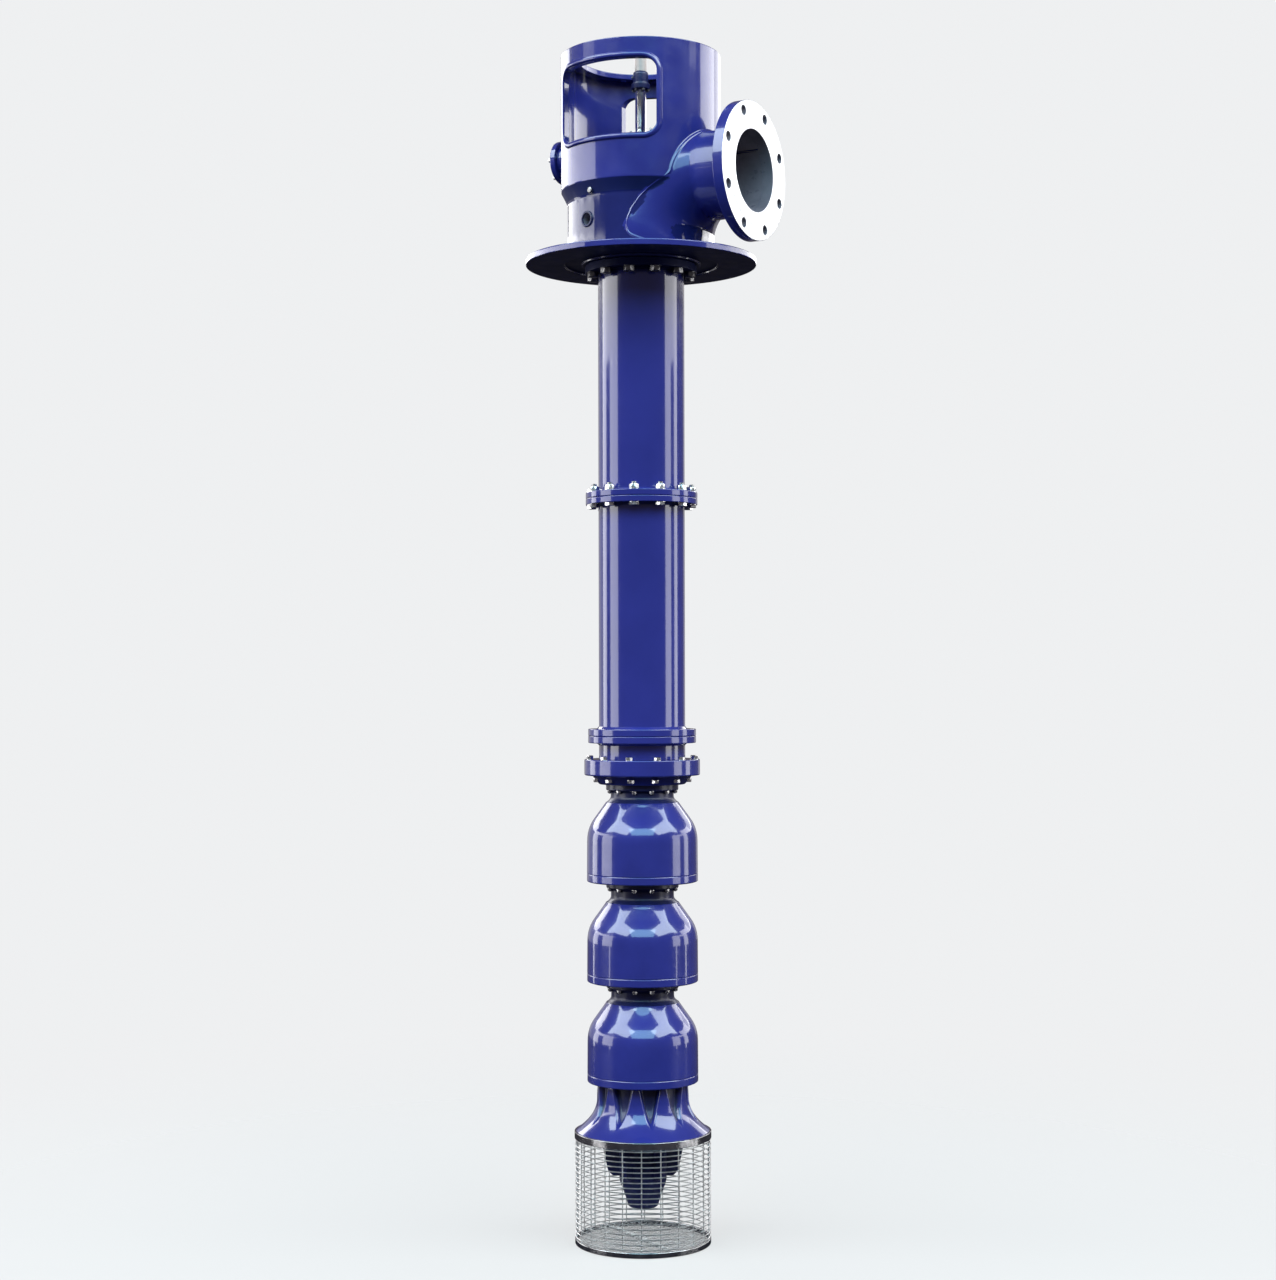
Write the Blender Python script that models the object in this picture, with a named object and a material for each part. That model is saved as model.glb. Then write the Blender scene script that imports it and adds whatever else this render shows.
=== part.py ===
"""Vertical turbine pump: discharge head, column, three bowls and suction strainer.

Metres, +Z up. The shaft is the Z axis, the base plate's underside is z = 0,
and the discharge points along +X.
"""
import math

import bmesh
import bpy
from mathutils import Matrix, Vector

# Clearance between touching pieces, and facets round pieces from the large to the small
GAP = 0.0003
FACETS_LARGE = 64
FACETS_MEDIUM = 36
FACETS_ROUND = 24
FACETS_SMALL = 20

# Base plate
PLATE_RADIUS = 0.293
PLATE_THICKNESS = 0.016
PLATE_EDGE = 0.003
PAD_RADIUS = 0.150
GROOVE_RADIUS = 0.196
GROOVE_DEPTH = 0.006

# Discharge body: drum, flare under the stand, and the floor inside the stand
DRUM_RADIUS = 0.186
FLARE_BOTTOM = 0.152
FLARE_TOP = 0.187
FLARE_STEPS = 4
FLOOR_TOP = 0.291

# Discharge elbow and its flange, an 8-inch outlet
OUTLET_HEIGHT = 0.207
OUTLET_REACH = 0.325
NECK_RADIUS = 0.1095
BORE_RADIUS = 0.10135
BEND_X = 0.203
BEND_RADIUS = 0.201
ELBOW_GROWTH = 0.0755
ELBOW_END_ANGLE = 86
ELBOW_CLEARANCE = 0.0009
ELBOW_FACETS = 44
WATERWAY_END_ANGLE = 70
WATERWAY_FACETS = 32
FLANGE_RADIUS = 0.1715
FLANGE_THICKNESS = 0.0285
FLANGE_HOLE_CIRCLE = 0.14925
FLANGE_HOLE_RADIUS = 0.0111
FLANGE_HOLES = 8
FLANGE_FACETS = 48
RAISED_FACE_RADIUS = 0.135
RAISED_FACE_HEIGHT = 0.002

# Motor stand with a window on each side
STAND_RADIUS = 0.203
STAND_WALL = 0.015
STAND_TOP = 0.530
STAND_FACETS = 72
TOP_RING_BORE = 0.152
TOP_RING_THICKNESS = 0.014
MOTOR_BOLT_CIRCLE = 0.170
MOTOR_BOLT_RADIUS = 0.0075
WINDOW_HALF_WIDTH = 0.133
WINDOW_BOTTOM = 0.293
WINDOW_TOP = 0.478
WINDOW_CORNER = 0.028
RIM_WIDTH = 0.015
RIM_HEIGHT = 0.005
RIM_SIDE_SHARE = 0.78
RIM_SEAT = 0.0005

# Blanked side port opposite the outlet, and the drain plug low on the drum
PORT_HEIGHT = 0.290
PORT_RADIUS = 0.055
PORT_NECK_RADIUS = 0.044
PORT_NECK_END = 0.225
PORT_COVER_END = 0.240
DRAIN_HEIGHT = 0.095
DRAIN_ANGLE = -107
DRAIN_RADIUS = 0.019
DRAIN_SOCKET_RADIUS = 0.010
DRAIN_STANDOFF = 0.006

# Stuffing box and the turning shaft
BOX_RADIUS = 0.052
BOX_TOP = 0.322
BOX_BORE = 0.0165
BOX_FOOT_WIDTH = 0.008
BOX_FOOT_HEIGHT = 0.012
GLAND_LENGTH = 0.075
GLAND_WIDTH = 0.020
GLAND_TOP = 0.334
SHAFT_RADIUS = 0.014
SHAFT_BOTTOM = 0.300
HUB_RADIUS = 0.024
HUB_BOTTOM = 0.450
HUB_TOP = 0.495
HEAD_SHAFT_RADIUS = 0.0125
HEAD_SHAFT_TOP = 0.548

# Column: 8-inch pipe with one bolted joint and one screwed coupling
PIPE_RADIUS = 0.10955
COLUMN_FLANGE_RADIUS = 0.142
HEAD_FLANGE_THICKNESS = 0.020
JOINT_TOP = -0.576
JOINT_BOTTOM = -0.608
COUPLING_RADIUS = 0.137
COUPLING_TOP = -1.176
COUPLING_BOTTOM = -1.212

# Bowl assembly
ADAPTER_RADIUS = 0.147
ADAPTER_HUB_RADIUS = 0.128
ADAPTER_FOOT_RADIUS = 0.109
ADAPTER_TOP = -1.253
ADAPTER_LEDGE = -1.294
ADAPTER_BOTTOM = -1.317
BOWL_RADIUS = 0.141
BOWL_PITCH = 0.254
BOWL_COUNT = 3
FIRST_BOWL_BOTTOM = -1.565
BOWL_BARREL = 0.132
BOWL_SHOULDER = 0.071
SHOULDER_TOP_RADIUS = 0.088
SHOULDER_FULLNESS = 1.25
NECK_TOP_RADIUS = 0.092
NECK_WAIST_RADIUS = 0.082
NECK_COLLAR = 0.014

# Suction bell and strainer
BELL_NECK_RADIUS = 0.1155
BELL_WAIST_RADIUS = 0.105
BELL_WAIST_HEIGHT = -2.122
BELL_MOUTH_RADIUS = 0.170
BELL_WALL = 0.010
BELL_ROOF = 0.020
BELL_BOTTOM = -2.197
BAND_BOTTOM = -2.215
BASKET_RADIUS = 0.173
BASKET_WIRE = 0.003
BASKET_BOTTOM = -2.469
RING_BOTTOM = -2.482
BASKET_PANELS = 12
PANEL_UPRIGHTS = 3
HOOPS = 7
BAND_PROUD = 0.001
RING_WALL = 0.0055
SPOKES = 12
GRILLE_RINGS = 3
GRILLE_EYE_RADIUS = 0.020
GRILLE_TOP = BASKET_BOTTOM - 0.004
BAR_WIDTH = 0.012
BAR_ANGLE = -30
HUB_HEAD_RADIUS = 0.060
HUB_FOOT_RADIUS = 0.052
HUB_NOSE_RADIUS = 0.045
HUB_NOSE_ROUNDING = 0.012
HUB_NOSE_BOTTOM = -2.392
RIB_COUNT = 6
RIB_THICKNESS = 0.009
RIB_THROAT_RADIUS = 0.093
RIB_THROAT_BOTTOM = -2.142
RIB_TOP_RADIUS = 0.112
RIB_FOOT_RADIUS = 0.089
RIB_BOTTOM = -2.313


def clear_scene():
    for old in list(bpy.data.objects):
        bpy.data.objects.remove(old, do_unlink=True)


def paint(name, color, roughness, metallic):
    finish = bpy.data.materials.new(name)
    finish.use_nodes = True
    shader = finish.node_tree.nodes["Principled BSDF"]
    shader.inputs["Base Color"].default_value = (*color, 1.0)
    shader.inputs["Roughness"].default_value = roughness
    shader.inputs["Metallic"].default_value = metallic
    return finish


def add_piece(name, bm, finish):
    """Turn a bmesh into a named object with outward faces and smooth round sides."""
    bmesh.ops.recalc_face_normals(bm, faces=bm.faces)
    mesh = bpy.data.meshes.new(name)
    bm.to_mesh(mesh)
    bm.free()
    mesh.shade_smooth()
    mesh.set_sharp_from_angle(angle=math.radians(35))
    mesh.materials.append(finish)
    piece = bpy.data.objects.new(name, mesh)
    bpy.context.scene.collection.objects.link(piece)
    return piece


def make_guide(piece):
    """Mark an object as a shape that only cuts or joins others."""
    piece.display_type = "WIRE"
    piece.hide_render = True
    return piece


def combine(piece, other, operation):
    step = piece.modifiers.new(f"{operation.lower()} {other.name}", "BOOLEAN")
    step.operation = operation
    step.solver = "EXACT"
    step.object = other


def turned_bmesh(profile, facets):
    """Spin (radius, height) points round Z; ends on the axis close by themselves, others join up."""
    bm = bmesh.new()
    points = [bm.verts.new((radius, 0, height)) for radius, height in profile]
    edges = [bm.edges.new(pair) for pair in zip(points, points[1:])]
    if profile[0][0] > 0:
        edges.append(bm.edges.new((points[-1], points[0])))
    bmesh.ops.spin(
        bm, geom=points + edges, cent=(0, 0, 0), axis=(0, 0, 1), angle=2 * math.pi, steps=facets
    )
    bmesh.ops.remove_doubles(bm, verts=bm.verts, dist=1e-6)
    bmesh.ops.dissolve_degenerate(bm, dist=1e-7, edges=bm.edges)
    return bm


def turned(name, profile, finish, facets=FACETS_MEDIUM):
    return add_piece(name, turned_bmesh(profile, facets), finish)


def rod_profile(radius, top, bottom, chamfer=0.0):
    """A solid round bar between two heights, its ends chamfered if asked."""
    if not chamfer:
        return [(0, top), (radius, top), (radius, bottom), (0, bottom)]
    return [
        (0, top),
        (radius - chamfer, top),
        (radius, top - chamfer),
        (radius, bottom + chamfer),
        (radius - chamfer, bottom),
        (0, bottom),
    ]


def tube_profile(outer, inner, top, bottom):
    return [(outer, top), (outer, bottom), (inner, bottom), (inner, top)]


def lofted_bmesh(rings):
    """Join equal rings of points into one closed skin with flat ends."""
    bm = bmesh.new()
    loops = [[bm.verts.new(point) for point in ring] for ring in rings]
    count = len(rings[0])
    for near, far in zip(loops, loops[1:]):
        for i in range(count):
            j = (i + 1) % count
            bm.faces.new((near[i], near[j], far[j], far[i]))
    bm.faces.new(loops[0])
    bm.faces.new(loops[-1])
    return bm


def elbow_ring(angle, growth, clearance):
    """One section of the elbow, at an angle round its bend from the level outlet.

    The section is a circle that grows towards the drum, flattened at the bend's outer side.
    """
    turn = math.radians(angle)
    radius = NECK_RADIUS + growth * math.sin(min(1.05 * turn, math.pi / 2)) + clearance
    roof = NECK_RADIUS + clearance
    center = Vector((BEND_X, 0, OUTLET_HEIGHT - BEND_RADIUS))
    outward = Vector((-math.sin(turn), 0, math.cos(turn)))
    ring = []
    for i in range(ELBOW_FACETS):
        spin = 2 * math.pi * (i + 0.5) / ELBOW_FACETS
        offset = min(radius * math.cos(spin), roof)
        ring.append(center + outward * (BEND_RADIUS + offset) + Vector((0, radius * math.sin(spin), 0)))
    return ring


def elbow_shape(name, clearance, finish):
    """The elbow's whole outer form, from behind the flange down into the drum."""
    level = elbow_ring(0, 0, clearance)
    back_face = OUTLET_REACH - FLANGE_THICKNESS - GAP
    shift = Vector((back_face - BEND_X, 0, 0))
    rings = [[point + shift for point in level], level]
    for angle in (7, 15, 24, 34, 46, 60, 73, ELBOW_END_ANGLE):
        rings.append(elbow_ring(angle, ELBOW_GROWTH, clearance))
    bm = lofted_bmesh(rings)
    # The elbow and its clearance shape are split alike, so the gap between them stays even
    bmesh.ops.triangulate(bm, faces=bm.faces, quad_method="FIXED")
    return make_guide(add_piece(name, bm, finish))


def waterway(finish):
    """The round passage through flange, elbow and drum."""
    center = Vector((BEND_X, 0, OUTLET_HEIGHT - BEND_RADIUS))
    spins = [2 * math.pi * i / WATERWAY_FACETS for i in range(WATERWAY_FACETS)]
    bends = 5
    rings = []
    for i in range(bends + 1):
        turn = math.radians(WATERWAY_END_ANGLE * i / bends)
        outward = Vector((-math.sin(turn), 0, math.cos(turn)))
        ring = []
        for spin in spins:
            level = outward * (BEND_RADIUS + BORE_RADIUS * math.cos(spin))
            ring.append(center + level + Vector((0, BORE_RADIUS * math.sin(spin), 0)))
        rings.append(ring)
    past_face = Vector((OUTLET_REACH + 0.01 - BEND_X, 0, 0))
    rings.insert(0, [point + past_face for point in rings[0]])
    return make_guide(add_piece("waterway_cutter", lofted_bmesh(rings), finish))


def base_plate(finish):
    """Round plate: outer seat, relief groove and central pad, all faced to one plane."""
    slant = 0.002
    profile = [
        (0, PLATE_THICKNESS),
        (PLATE_RADIUS - PLATE_EDGE, PLATE_THICKNESS),
        (PLATE_RADIUS, PLATE_THICKNESS - PLATE_EDGE),
        (PLATE_RADIUS, PLATE_EDGE / 2),
        (PLATE_RADIUS - PLATE_EDGE / 2, 0),
        (GROOVE_RADIUS, 0),
        (GROOVE_RADIUS - slant, GROOVE_DEPTH),
        (PAD_RADIUS + slant, GROOVE_DEPTH),
        (PAD_RADIUS, 0),
        (0, 0),
    ]
    return turned("base_plate", profile, finish, FACETS_LARGE)


def discharge_body(finish, elbow, passage):
    """Drum, flare, stand floor and elbow in one casting, with the waterway through it."""
    inner = STAND_RADIUS - STAND_WALL - GAP
    foot = PLATE_THICKNESS + GAP
    flare = []
    for i in range(FLARE_STEPS + 1):
        turn = math.radians(90 * i / FLARE_STEPS)
        radius = DRUM_RADIUS + (STAND_RADIUS - DRUM_RADIUS) * math.cos(turn)
        flare.append((radius, FLARE_TOP - GAP - (FLARE_TOP - FLARE_BOTTOM) * math.sin(turn)))
    profile = [
        (0, FLOOR_TOP),
        (inner, FLOOR_TOP),
        (inner, FLARE_TOP - GAP),
        *flare,
        (DRUM_RADIUS, foot),
        (0, foot),
    ]
    body = turned("discharge_body", profile, finish, FACETS_LARGE)
    combine(body, elbow, "UNION")
    below = make_guide(turned("below_drum_cutter", rod_profile(0.25, foot, -0.05), finish, FACETS_ROUND))
    combine(body, below, "DIFFERENCE")
    combine(body, passage, "DIFFERENCE")
    return body


def discharge_flange(finish):
    """Drilled flange with a raised face, turned about the outlet's axis."""
    back, front = 0.0, FLANGE_THICKNESS
    rim = front - RAISED_FACE_HEIGHT
    chamfer = 0.002
    profile = [
        (RAISED_FACE_RADIUS, front),
        (RAISED_FACE_RADIUS, rim),
        (FLANGE_RADIUS - chamfer, rim),
        (FLANGE_RADIUS, rim - chamfer),
        (FLANGE_RADIUS, back + chamfer),
        (FLANGE_RADIUS - chamfer, back),
        (BORE_RADIUS, back),
        (BORE_RADIUS, front),
    ]
    flange = turned("discharge_flange", profile, finish, FLANGE_FACETS)
    bm = bmesh.new()
    for i in range(FLANGE_HOLES):
        angle = 2 * math.pi * (i + 0.5) / FLANGE_HOLES
        place = Matrix.Translation(
            (FLANGE_HOLE_CIRCLE * math.cos(angle), FLANGE_HOLE_CIRCLE * math.sin(angle), front / 2)
        )
        bmesh.ops.create_cone(
            bm,
            cap_ends=True,
            segments=12,
            radius1=FLANGE_HOLE_RADIUS,
            radius2=FLANGE_HOLE_RADIUS,
            depth=0.06,
            matrix=place,
        )
    holes = make_guide(add_piece("flange_hole_cutter", bm, finish))
    seat = Matrix.Translation((OUTLET_REACH - FLANGE_THICKNESS, 0, OUTLET_HEIGHT)) @ Matrix.Rotation(
        math.radians(90), 4, "Y"
    )
    flange.matrix_world = seat
    holes.matrix_world = seat
    combine(flange, holes, "DIFFERENCE")
    return flange


def window_outline(grow_x, grow_z, corner_steps, level_steps):
    """Rounded window outline as (x, z) points, anticlockwise, seen from the front."""
    half_width = WINDOW_HALF_WIDTH + grow_x
    bottom = WINDOW_BOTTOM - grow_z
    top = WINDOW_TOP + grow_z
    corner_x = WINDOW_CORNER + grow_x
    corner_z = WINDOW_CORNER + grow_z
    centers = (
        (half_width - corner_x, bottom + corner_z, -90),
        (half_width - corner_x, top - corner_z, 0),
        (-half_width + corner_x, top - corner_z, 90),
        (-half_width + corner_x, bottom + corner_z, 180),
    )
    outline = []
    for x, z, start in centers:
        for i in range(corner_steps + 1):
            turn = math.radians(start + 90 * i / corner_steps)
            outline.append((x + corner_x * math.cos(turn), z + corner_z * math.sin(turn)))
        if start in (0, 180):
            x_from, z_level = outline[-1]
            x_to = -x_from
            for i in range(1, level_steps):
                outline.append((x_from + (x_to - x_from) * i / level_steps, z_level))
    return outline


def motor_stand(finish, clearance_shape):
    """Round wall with a window front and back and a notch over the elbow."""
    profile = tube_profile(STAND_RADIUS, STAND_RADIUS - STAND_WALL, STAND_TOP, FLARE_TOP)
    stand = turned("motor_stand", profile, finish, STAND_FACETS)
    outline = window_outline(0, 0, 4, 1)
    bm = lofted_bmesh([[(x, y, z) for x, z in outline] for y in (-0.25, 0.25)])
    windows = make_guide(add_piece("window_cutter", bm, finish))
    combine(stand, windows, "DIFFERENCE")
    combine(stand, clearance_shape, "DIFFERENCE")
    return stand


def stand_top_ring(finish):
    """Inner ledge of the motor face, with four bolt holes."""
    outer = STAND_RADIUS - STAND_WALL - GAP
    profile = tube_profile(outer, TOP_RING_BORE, STAND_TOP, STAND_TOP - TOP_RING_THICKNESS)
    ring = turned("stand_top_ring", profile, finish, FACETS_MEDIUM)
    bm = bmesh.new()
    for i in range(4):
        angle = math.radians(45 + 90 * i)
        place = Matrix.Translation(
            (MOTOR_BOLT_CIRCLE * math.cos(angle), MOTOR_BOLT_CIRCLE * math.sin(angle), STAND_TOP)
        )
        bmesh.ops.create_cone(
            bm,
            cap_ends=True,
            segments=10,
            radius1=MOTOR_BOLT_RADIUS,
            radius2=MOTOR_BOLT_RADIUS,
            depth=0.06,
            matrix=place,
        )
    holes = make_guide(add_piece("motor_hole_cutter", bm, finish))
    combine(ring, holes, "DIFFERENCE")
    return ring


def window_rim(name, side, finish):
    """Raised bead round one window, lying on the stand's outside."""
    section = ((0.0, 0.0005), (0.0, 0.7), (0.3, 1.0), (0.7, 1.0), (1.0, 0.2), (1.0, 0.0005))
    rings = []
    for across, rise in section:
        grow = across * RIM_WIDTH
        outline = window_outline(grow * RIM_SIDE_SHARE, grow, 4, 16)
        radius = STAND_RADIUS + RIM_SEAT + rise * RIM_HEIGHT
        rings.append([(x, side * math.sqrt(radius**2 - x**2), z) for x, z in outline])
    bm = bmesh.new()
    loops = [[bm.verts.new(point) for point in ring] for ring in rings]
    count = len(loops[0])
    for near, far in zip(loops, loops[1:] + loops[:1]):
        for i in range(count):
            j = (i + 1) % count
            bm.faces.new((near[i], near[j], far[j], far[i]))
    return add_piece(name, bm, finish)


def side_port(finish):
    """Short neck and blank cover opposite the outlet."""
    seat = Matrix.Translation((0, 0, PORT_HEIGHT)) @ Matrix.Rotation(math.radians(-90), 4, "Y")
    profile = rod_profile(PORT_NECK_RADIUS, PORT_NECK_END, 0.15)
    neck = turned("side_port_neck", profile, finish, FACETS_ROUND)
    neck.matrix_world = seat
    wall = make_guide(
        turned("port_wall_cutter", rod_profile(STAND_RADIUS + GAP, 0.45, 0.10), finish, FACETS_LARGE)
    )
    combine(neck, wall, "DIFFERENCE")
    profile = rod_profile(PORT_RADIUS, PORT_COVER_END, PORT_NECK_END + GAP, 0.003)
    cover = turned("side_port_cover", profile, finish, FACETS_MEDIUM)
    cover.matrix_world = seat
    return neck, cover


def drain_plug(finish, wall):
    """Round-headed plug on the drum's left front."""
    seat = (
        Matrix.Rotation(math.radians(DRAIN_ANGLE), 4, "Z")
        @ Matrix.Translation((0, 0, DRAIN_HEIGHT))
        @ Matrix.Rotation(math.radians(90), 4, "Y")
    )
    face = DRUM_RADIUS + DRAIN_STANDOFF
    inside_drum = DRUM_RADIUS - 0.016
    profile = [
        (0, face - 0.003),
        (DRAIN_SOCKET_RADIUS, face - 0.003),
        (DRAIN_SOCKET_RADIUS, face),
        (DRAIN_RADIUS, face),
        (DRAIN_RADIUS, inside_drum),
        (0, inside_drum),
    ]
    plug = turned("drain_plug", profile, finish, FACETS_SMALL)
    plug.matrix_world = seat
    combine(plug, wall, "DIFFERENCE")
    return plug


def stuffing_box(finish):
    """Round cup on the stand's floor; the shaft enters from above."""
    foot = FLOOR_TOP + GAP
    barrel = BOX_RADIUS - BOX_FOOT_WIDTH
    profile = [
        (0, SHAFT_BOTTOM - GAP),
        (BOX_BORE, SHAFT_BOTTOM - GAP),
        (BOX_BORE, BOX_TOP),
        (barrel, BOX_TOP),
        (barrel, foot + BOX_FOOT_HEIGHT),
        (BOX_RADIUS, foot + BOX_FOOT_HEIGHT),
        (BOX_RADIUS, foot),
        (0, foot),
    ]
    return turned("stuffing_box", profile, finish, FACETS_ROUND)


def packing_gland(finish):
    """Oval gland plate with the shaft's running hole."""
    steps = 8
    outline = []
    half = GLAND_LENGTH / 2
    for center, start in ((half - GLAND_WIDTH, -90), (GLAND_WIDTH - half, 90)):
        for i in range(steps + 1):
            turn = math.radians(start + 180 * i / steps)
            outline.append((center + GLAND_WIDTH * math.cos(turn), GLAND_WIDTH * math.sin(turn)))
    heights = (BOX_TOP + GAP, GLAND_TOP)
    bm = lofted_bmesh([[(x, y, z) for x, y in outline] for z in heights])
    gland = add_piece("packing_gland", bm, finish)
    profile = rod_profile(SHAFT_RADIUS + 0.0007, GLAND_TOP + 0.01, BOX_TOP - 0.01)
    hole = make_guide(turned("gland_hole_cutter", profile, finish, FACETS_ROUND))
    combine(gland, hole, "DIFFERENCE")
    return gland


def rotor(finish_bright, finish_grey, finish_dark):
    """Shaft, coupling hub and head shaft, which turn together."""
    turned(
        "line_shaft",
        rod_profile(SHAFT_RADIUS, HUB_BOTTOM - GAP, SHAFT_BOTTOM, 0.002),
        finish_bright,
        FACETS_SMALL,
    )
    turned("coupling_hub", rod_profile(HUB_RADIUS, HUB_TOP, HUB_BOTTOM, 0.003), finish_dark, FACETS_ROUND)
    turned(
        "head_shaft",
        rod_profile(HEAD_SHAFT_RADIUS, HEAD_SHAFT_TOP, HUB_TOP + GAP, 0.002),
        finish_grey,
        FACETS_SMALL,
    )


def column(finish):
    """Two lengths of pipe, the flange under the head, the bolted joint and the coupling."""
    head_bottom = -GAP - HEAD_FLANGE_THICKNESS
    joint_middle = (JOINT_TOP + JOINT_BOTTOM) / 2
    coupling_middle = (COUPLING_TOP + COUPLING_BOTTOM) / 2
    solids = (
        ("head_column_flange", COLUMN_FLANGE_RADIUS, -GAP, head_bottom),
        ("upper_column_pipe", PIPE_RADIUS, head_bottom - GAP, JOINT_TOP),
        ("joint_flange_upper", COLUMN_FLANGE_RADIUS, JOINT_TOP - GAP, joint_middle),
        ("joint_flange_lower", COLUMN_FLANGE_RADIUS, joint_middle - GAP, JOINT_BOTTOM),
        ("lower_column_pipe", PIPE_RADIUS, JOINT_BOTTOM - GAP, COUPLING_TOP),
        ("coupling_ring_upper", COUPLING_RADIUS, COUPLING_TOP - GAP, coupling_middle),
        ("coupling_ring_lower", COUPLING_RADIUS, coupling_middle - GAP, COUPLING_BOTTOM),
        ("spool_pipe", PIPE_RADIUS, COUPLING_BOTTOM - GAP, ADAPTER_TOP),
    )
    for name, radius, top, bottom in solids:
        turned(name, rod_profile(radius, top, bottom), finish)


def bowl_adapter(finish):
    top = ADAPTER_TOP - GAP
    profile = [
        (0, top),
        (ADAPTER_RADIUS, top),
        (ADAPTER_RADIUS, ADAPTER_LEDGE),
        (ADAPTER_HUB_RADIUS, ADAPTER_LEDGE),
        (ADAPTER_FOOT_RADIUS, ADAPTER_BOTTOM),
        (0, ADAPTER_BOTTOM),
    ]
    return turned("bowl_adapter", profile, finish)


def bowl(number, bottom, neck_top, finish, neck_finish):
    """One stage: a waisted neck, then a full-cheeked cone as shoulder over a straight barrel."""
    shoulder_top = bottom + BOWL_BARREL + BOWL_SHOULDER
    neck_profile = [
        (0, neck_top - GAP),
        (NECK_TOP_RADIUS, neck_top - GAP),
        (NECK_TOP_RADIUS, neck_top - NECK_COLLAR),
        (NECK_WAIST_RADIUS, neck_top - NECK_COLLAR - 0.004),
        (NECK_WAIST_RADIUS, shoulder_top + 0.005),
        (NECK_WAIST_RADIUS + 0.004, shoulder_top),
        (0, shoulder_top),
    ]
    turned(f"bowl_neck_{number}", neck_profile, neck_finish)
    shoulder = []
    steps = 6
    power = 2 / SHOULDER_FULLNESS
    for i in range(steps + 1):
        turn = math.radians(90 * i / steps)
        out, up = math.sin(turn) ** power, max(0.0, math.cos(turn)) ** power
        radius = SHOULDER_TOP_RADIUS + (BOWL_RADIUS - SHOULDER_TOP_RADIUS) * out
        shoulder.append((radius, bottom + BOWL_BARREL + (BOWL_SHOULDER - GAP) * up))
    chamfer = 0.004
    profile = [
        (0, shoulder[0][1]),
        *shoulder,
        (BOWL_RADIUS, bottom + chamfer),
        (BOWL_RADIUS - chamfer, bottom),
        (0, bottom),
    ]
    turned(f"bowl_{number}", profile, finish)


def bell_radius(height, top):
    """Outer radius: drawn in from neck to waist, then flared to the mouth, each as a smooth step."""
    if height > BELL_WAIST_HEIGHT:
        share = (top - height) / (top - BELL_WAIST_HEIGHT)
        start, end = BELL_NECK_RADIUS, BELL_WAIST_RADIUS
    else:
        share = (BELL_WAIST_HEIGHT - height) / (BELL_WAIST_HEIGHT - BELL_BOTTOM)
        start, end = BELL_WAIST_RADIUS, BELL_MOUTH_RADIUS
    return start + (end - start) * share * share * (3 - 2 * share)


def suction_bell(finish, top):
    """Flared bell, open downwards round the hub."""
    roof = top - BELL_ROOF
    steps = 6
    flare = [BELL_WAIST_HEIGHT + (BELL_BOTTOM - BELL_WAIST_HEIGHT) * i / steps for i in range(steps + 1)]
    outer = [(bell_radius(height, top), height) for height in (top, (top + BELL_WAIST_HEIGHT) / 2, *flare)]
    inner = [(bell_radius(height, top) - BELL_WALL, height) for height in reversed(flare)]
    profile = [(0, top), *outer, *inner, (BELL_WAIST_RADIUS - BELL_WALL, roof), (0, roof)]
    return turned("suction_bell", profile, finish)


def suction_hub(finish, top):
    """Bearing hub under the bell's roof, with radial ribs."""
    profile = [
        (0, top),
        (HUB_HEAD_RADIUS, top),
        (HUB_FOOT_RADIUS, RIB_BOTTOM),
        (HUB_NOSE_RADIUS, HUB_NOSE_BOTTOM + 2 * HUB_NOSE_ROUNDING),
        (HUB_NOSE_RADIUS - HUB_NOSE_ROUNDING / 4, HUB_NOSE_BOTTOM + HUB_NOSE_ROUNDING),
        (HUB_NOSE_RADIUS - HUB_NOSE_ROUNDING, HUB_NOSE_BOTTOM),
        (0, HUB_NOSE_BOTTOM),
    ]
    return turned("suction_hub", profile, finish, FACETS_ROUND)


def suction_rib(number, finish, roof):
    """Flat radial rib from the bell's roof down the hub."""
    corner = 0.012
    outline = [
        (HUB_HEAD_RADIUS + GAP, roof),
        (RIB_THROAT_RADIUS, roof),
        (RIB_THROAT_RADIUS, RIB_THROAT_BOTTOM),
        (RIB_TOP_RADIUS, BELL_BOTTOM),
        (RIB_FOOT_RADIUS, RIB_BOTTOM + corner),
        (RIB_FOOT_RADIUS - corner, RIB_BOTTOM),
        (HUB_FOOT_RADIUS + GAP, RIB_BOTTOM),
    ]
    half = RIB_THICKNESS / 2
    bm = lofted_bmesh([[(x, y, z) for x, z in outline] for y in (-half, half)])
    rib = add_piece(f"suction_rib_{number}", bm, finish)
    rib.matrix_world = Matrix.Rotation(2 * math.pi * (number - 0.5) / RIB_COUNT, 4, "Z")
    return rib


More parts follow.
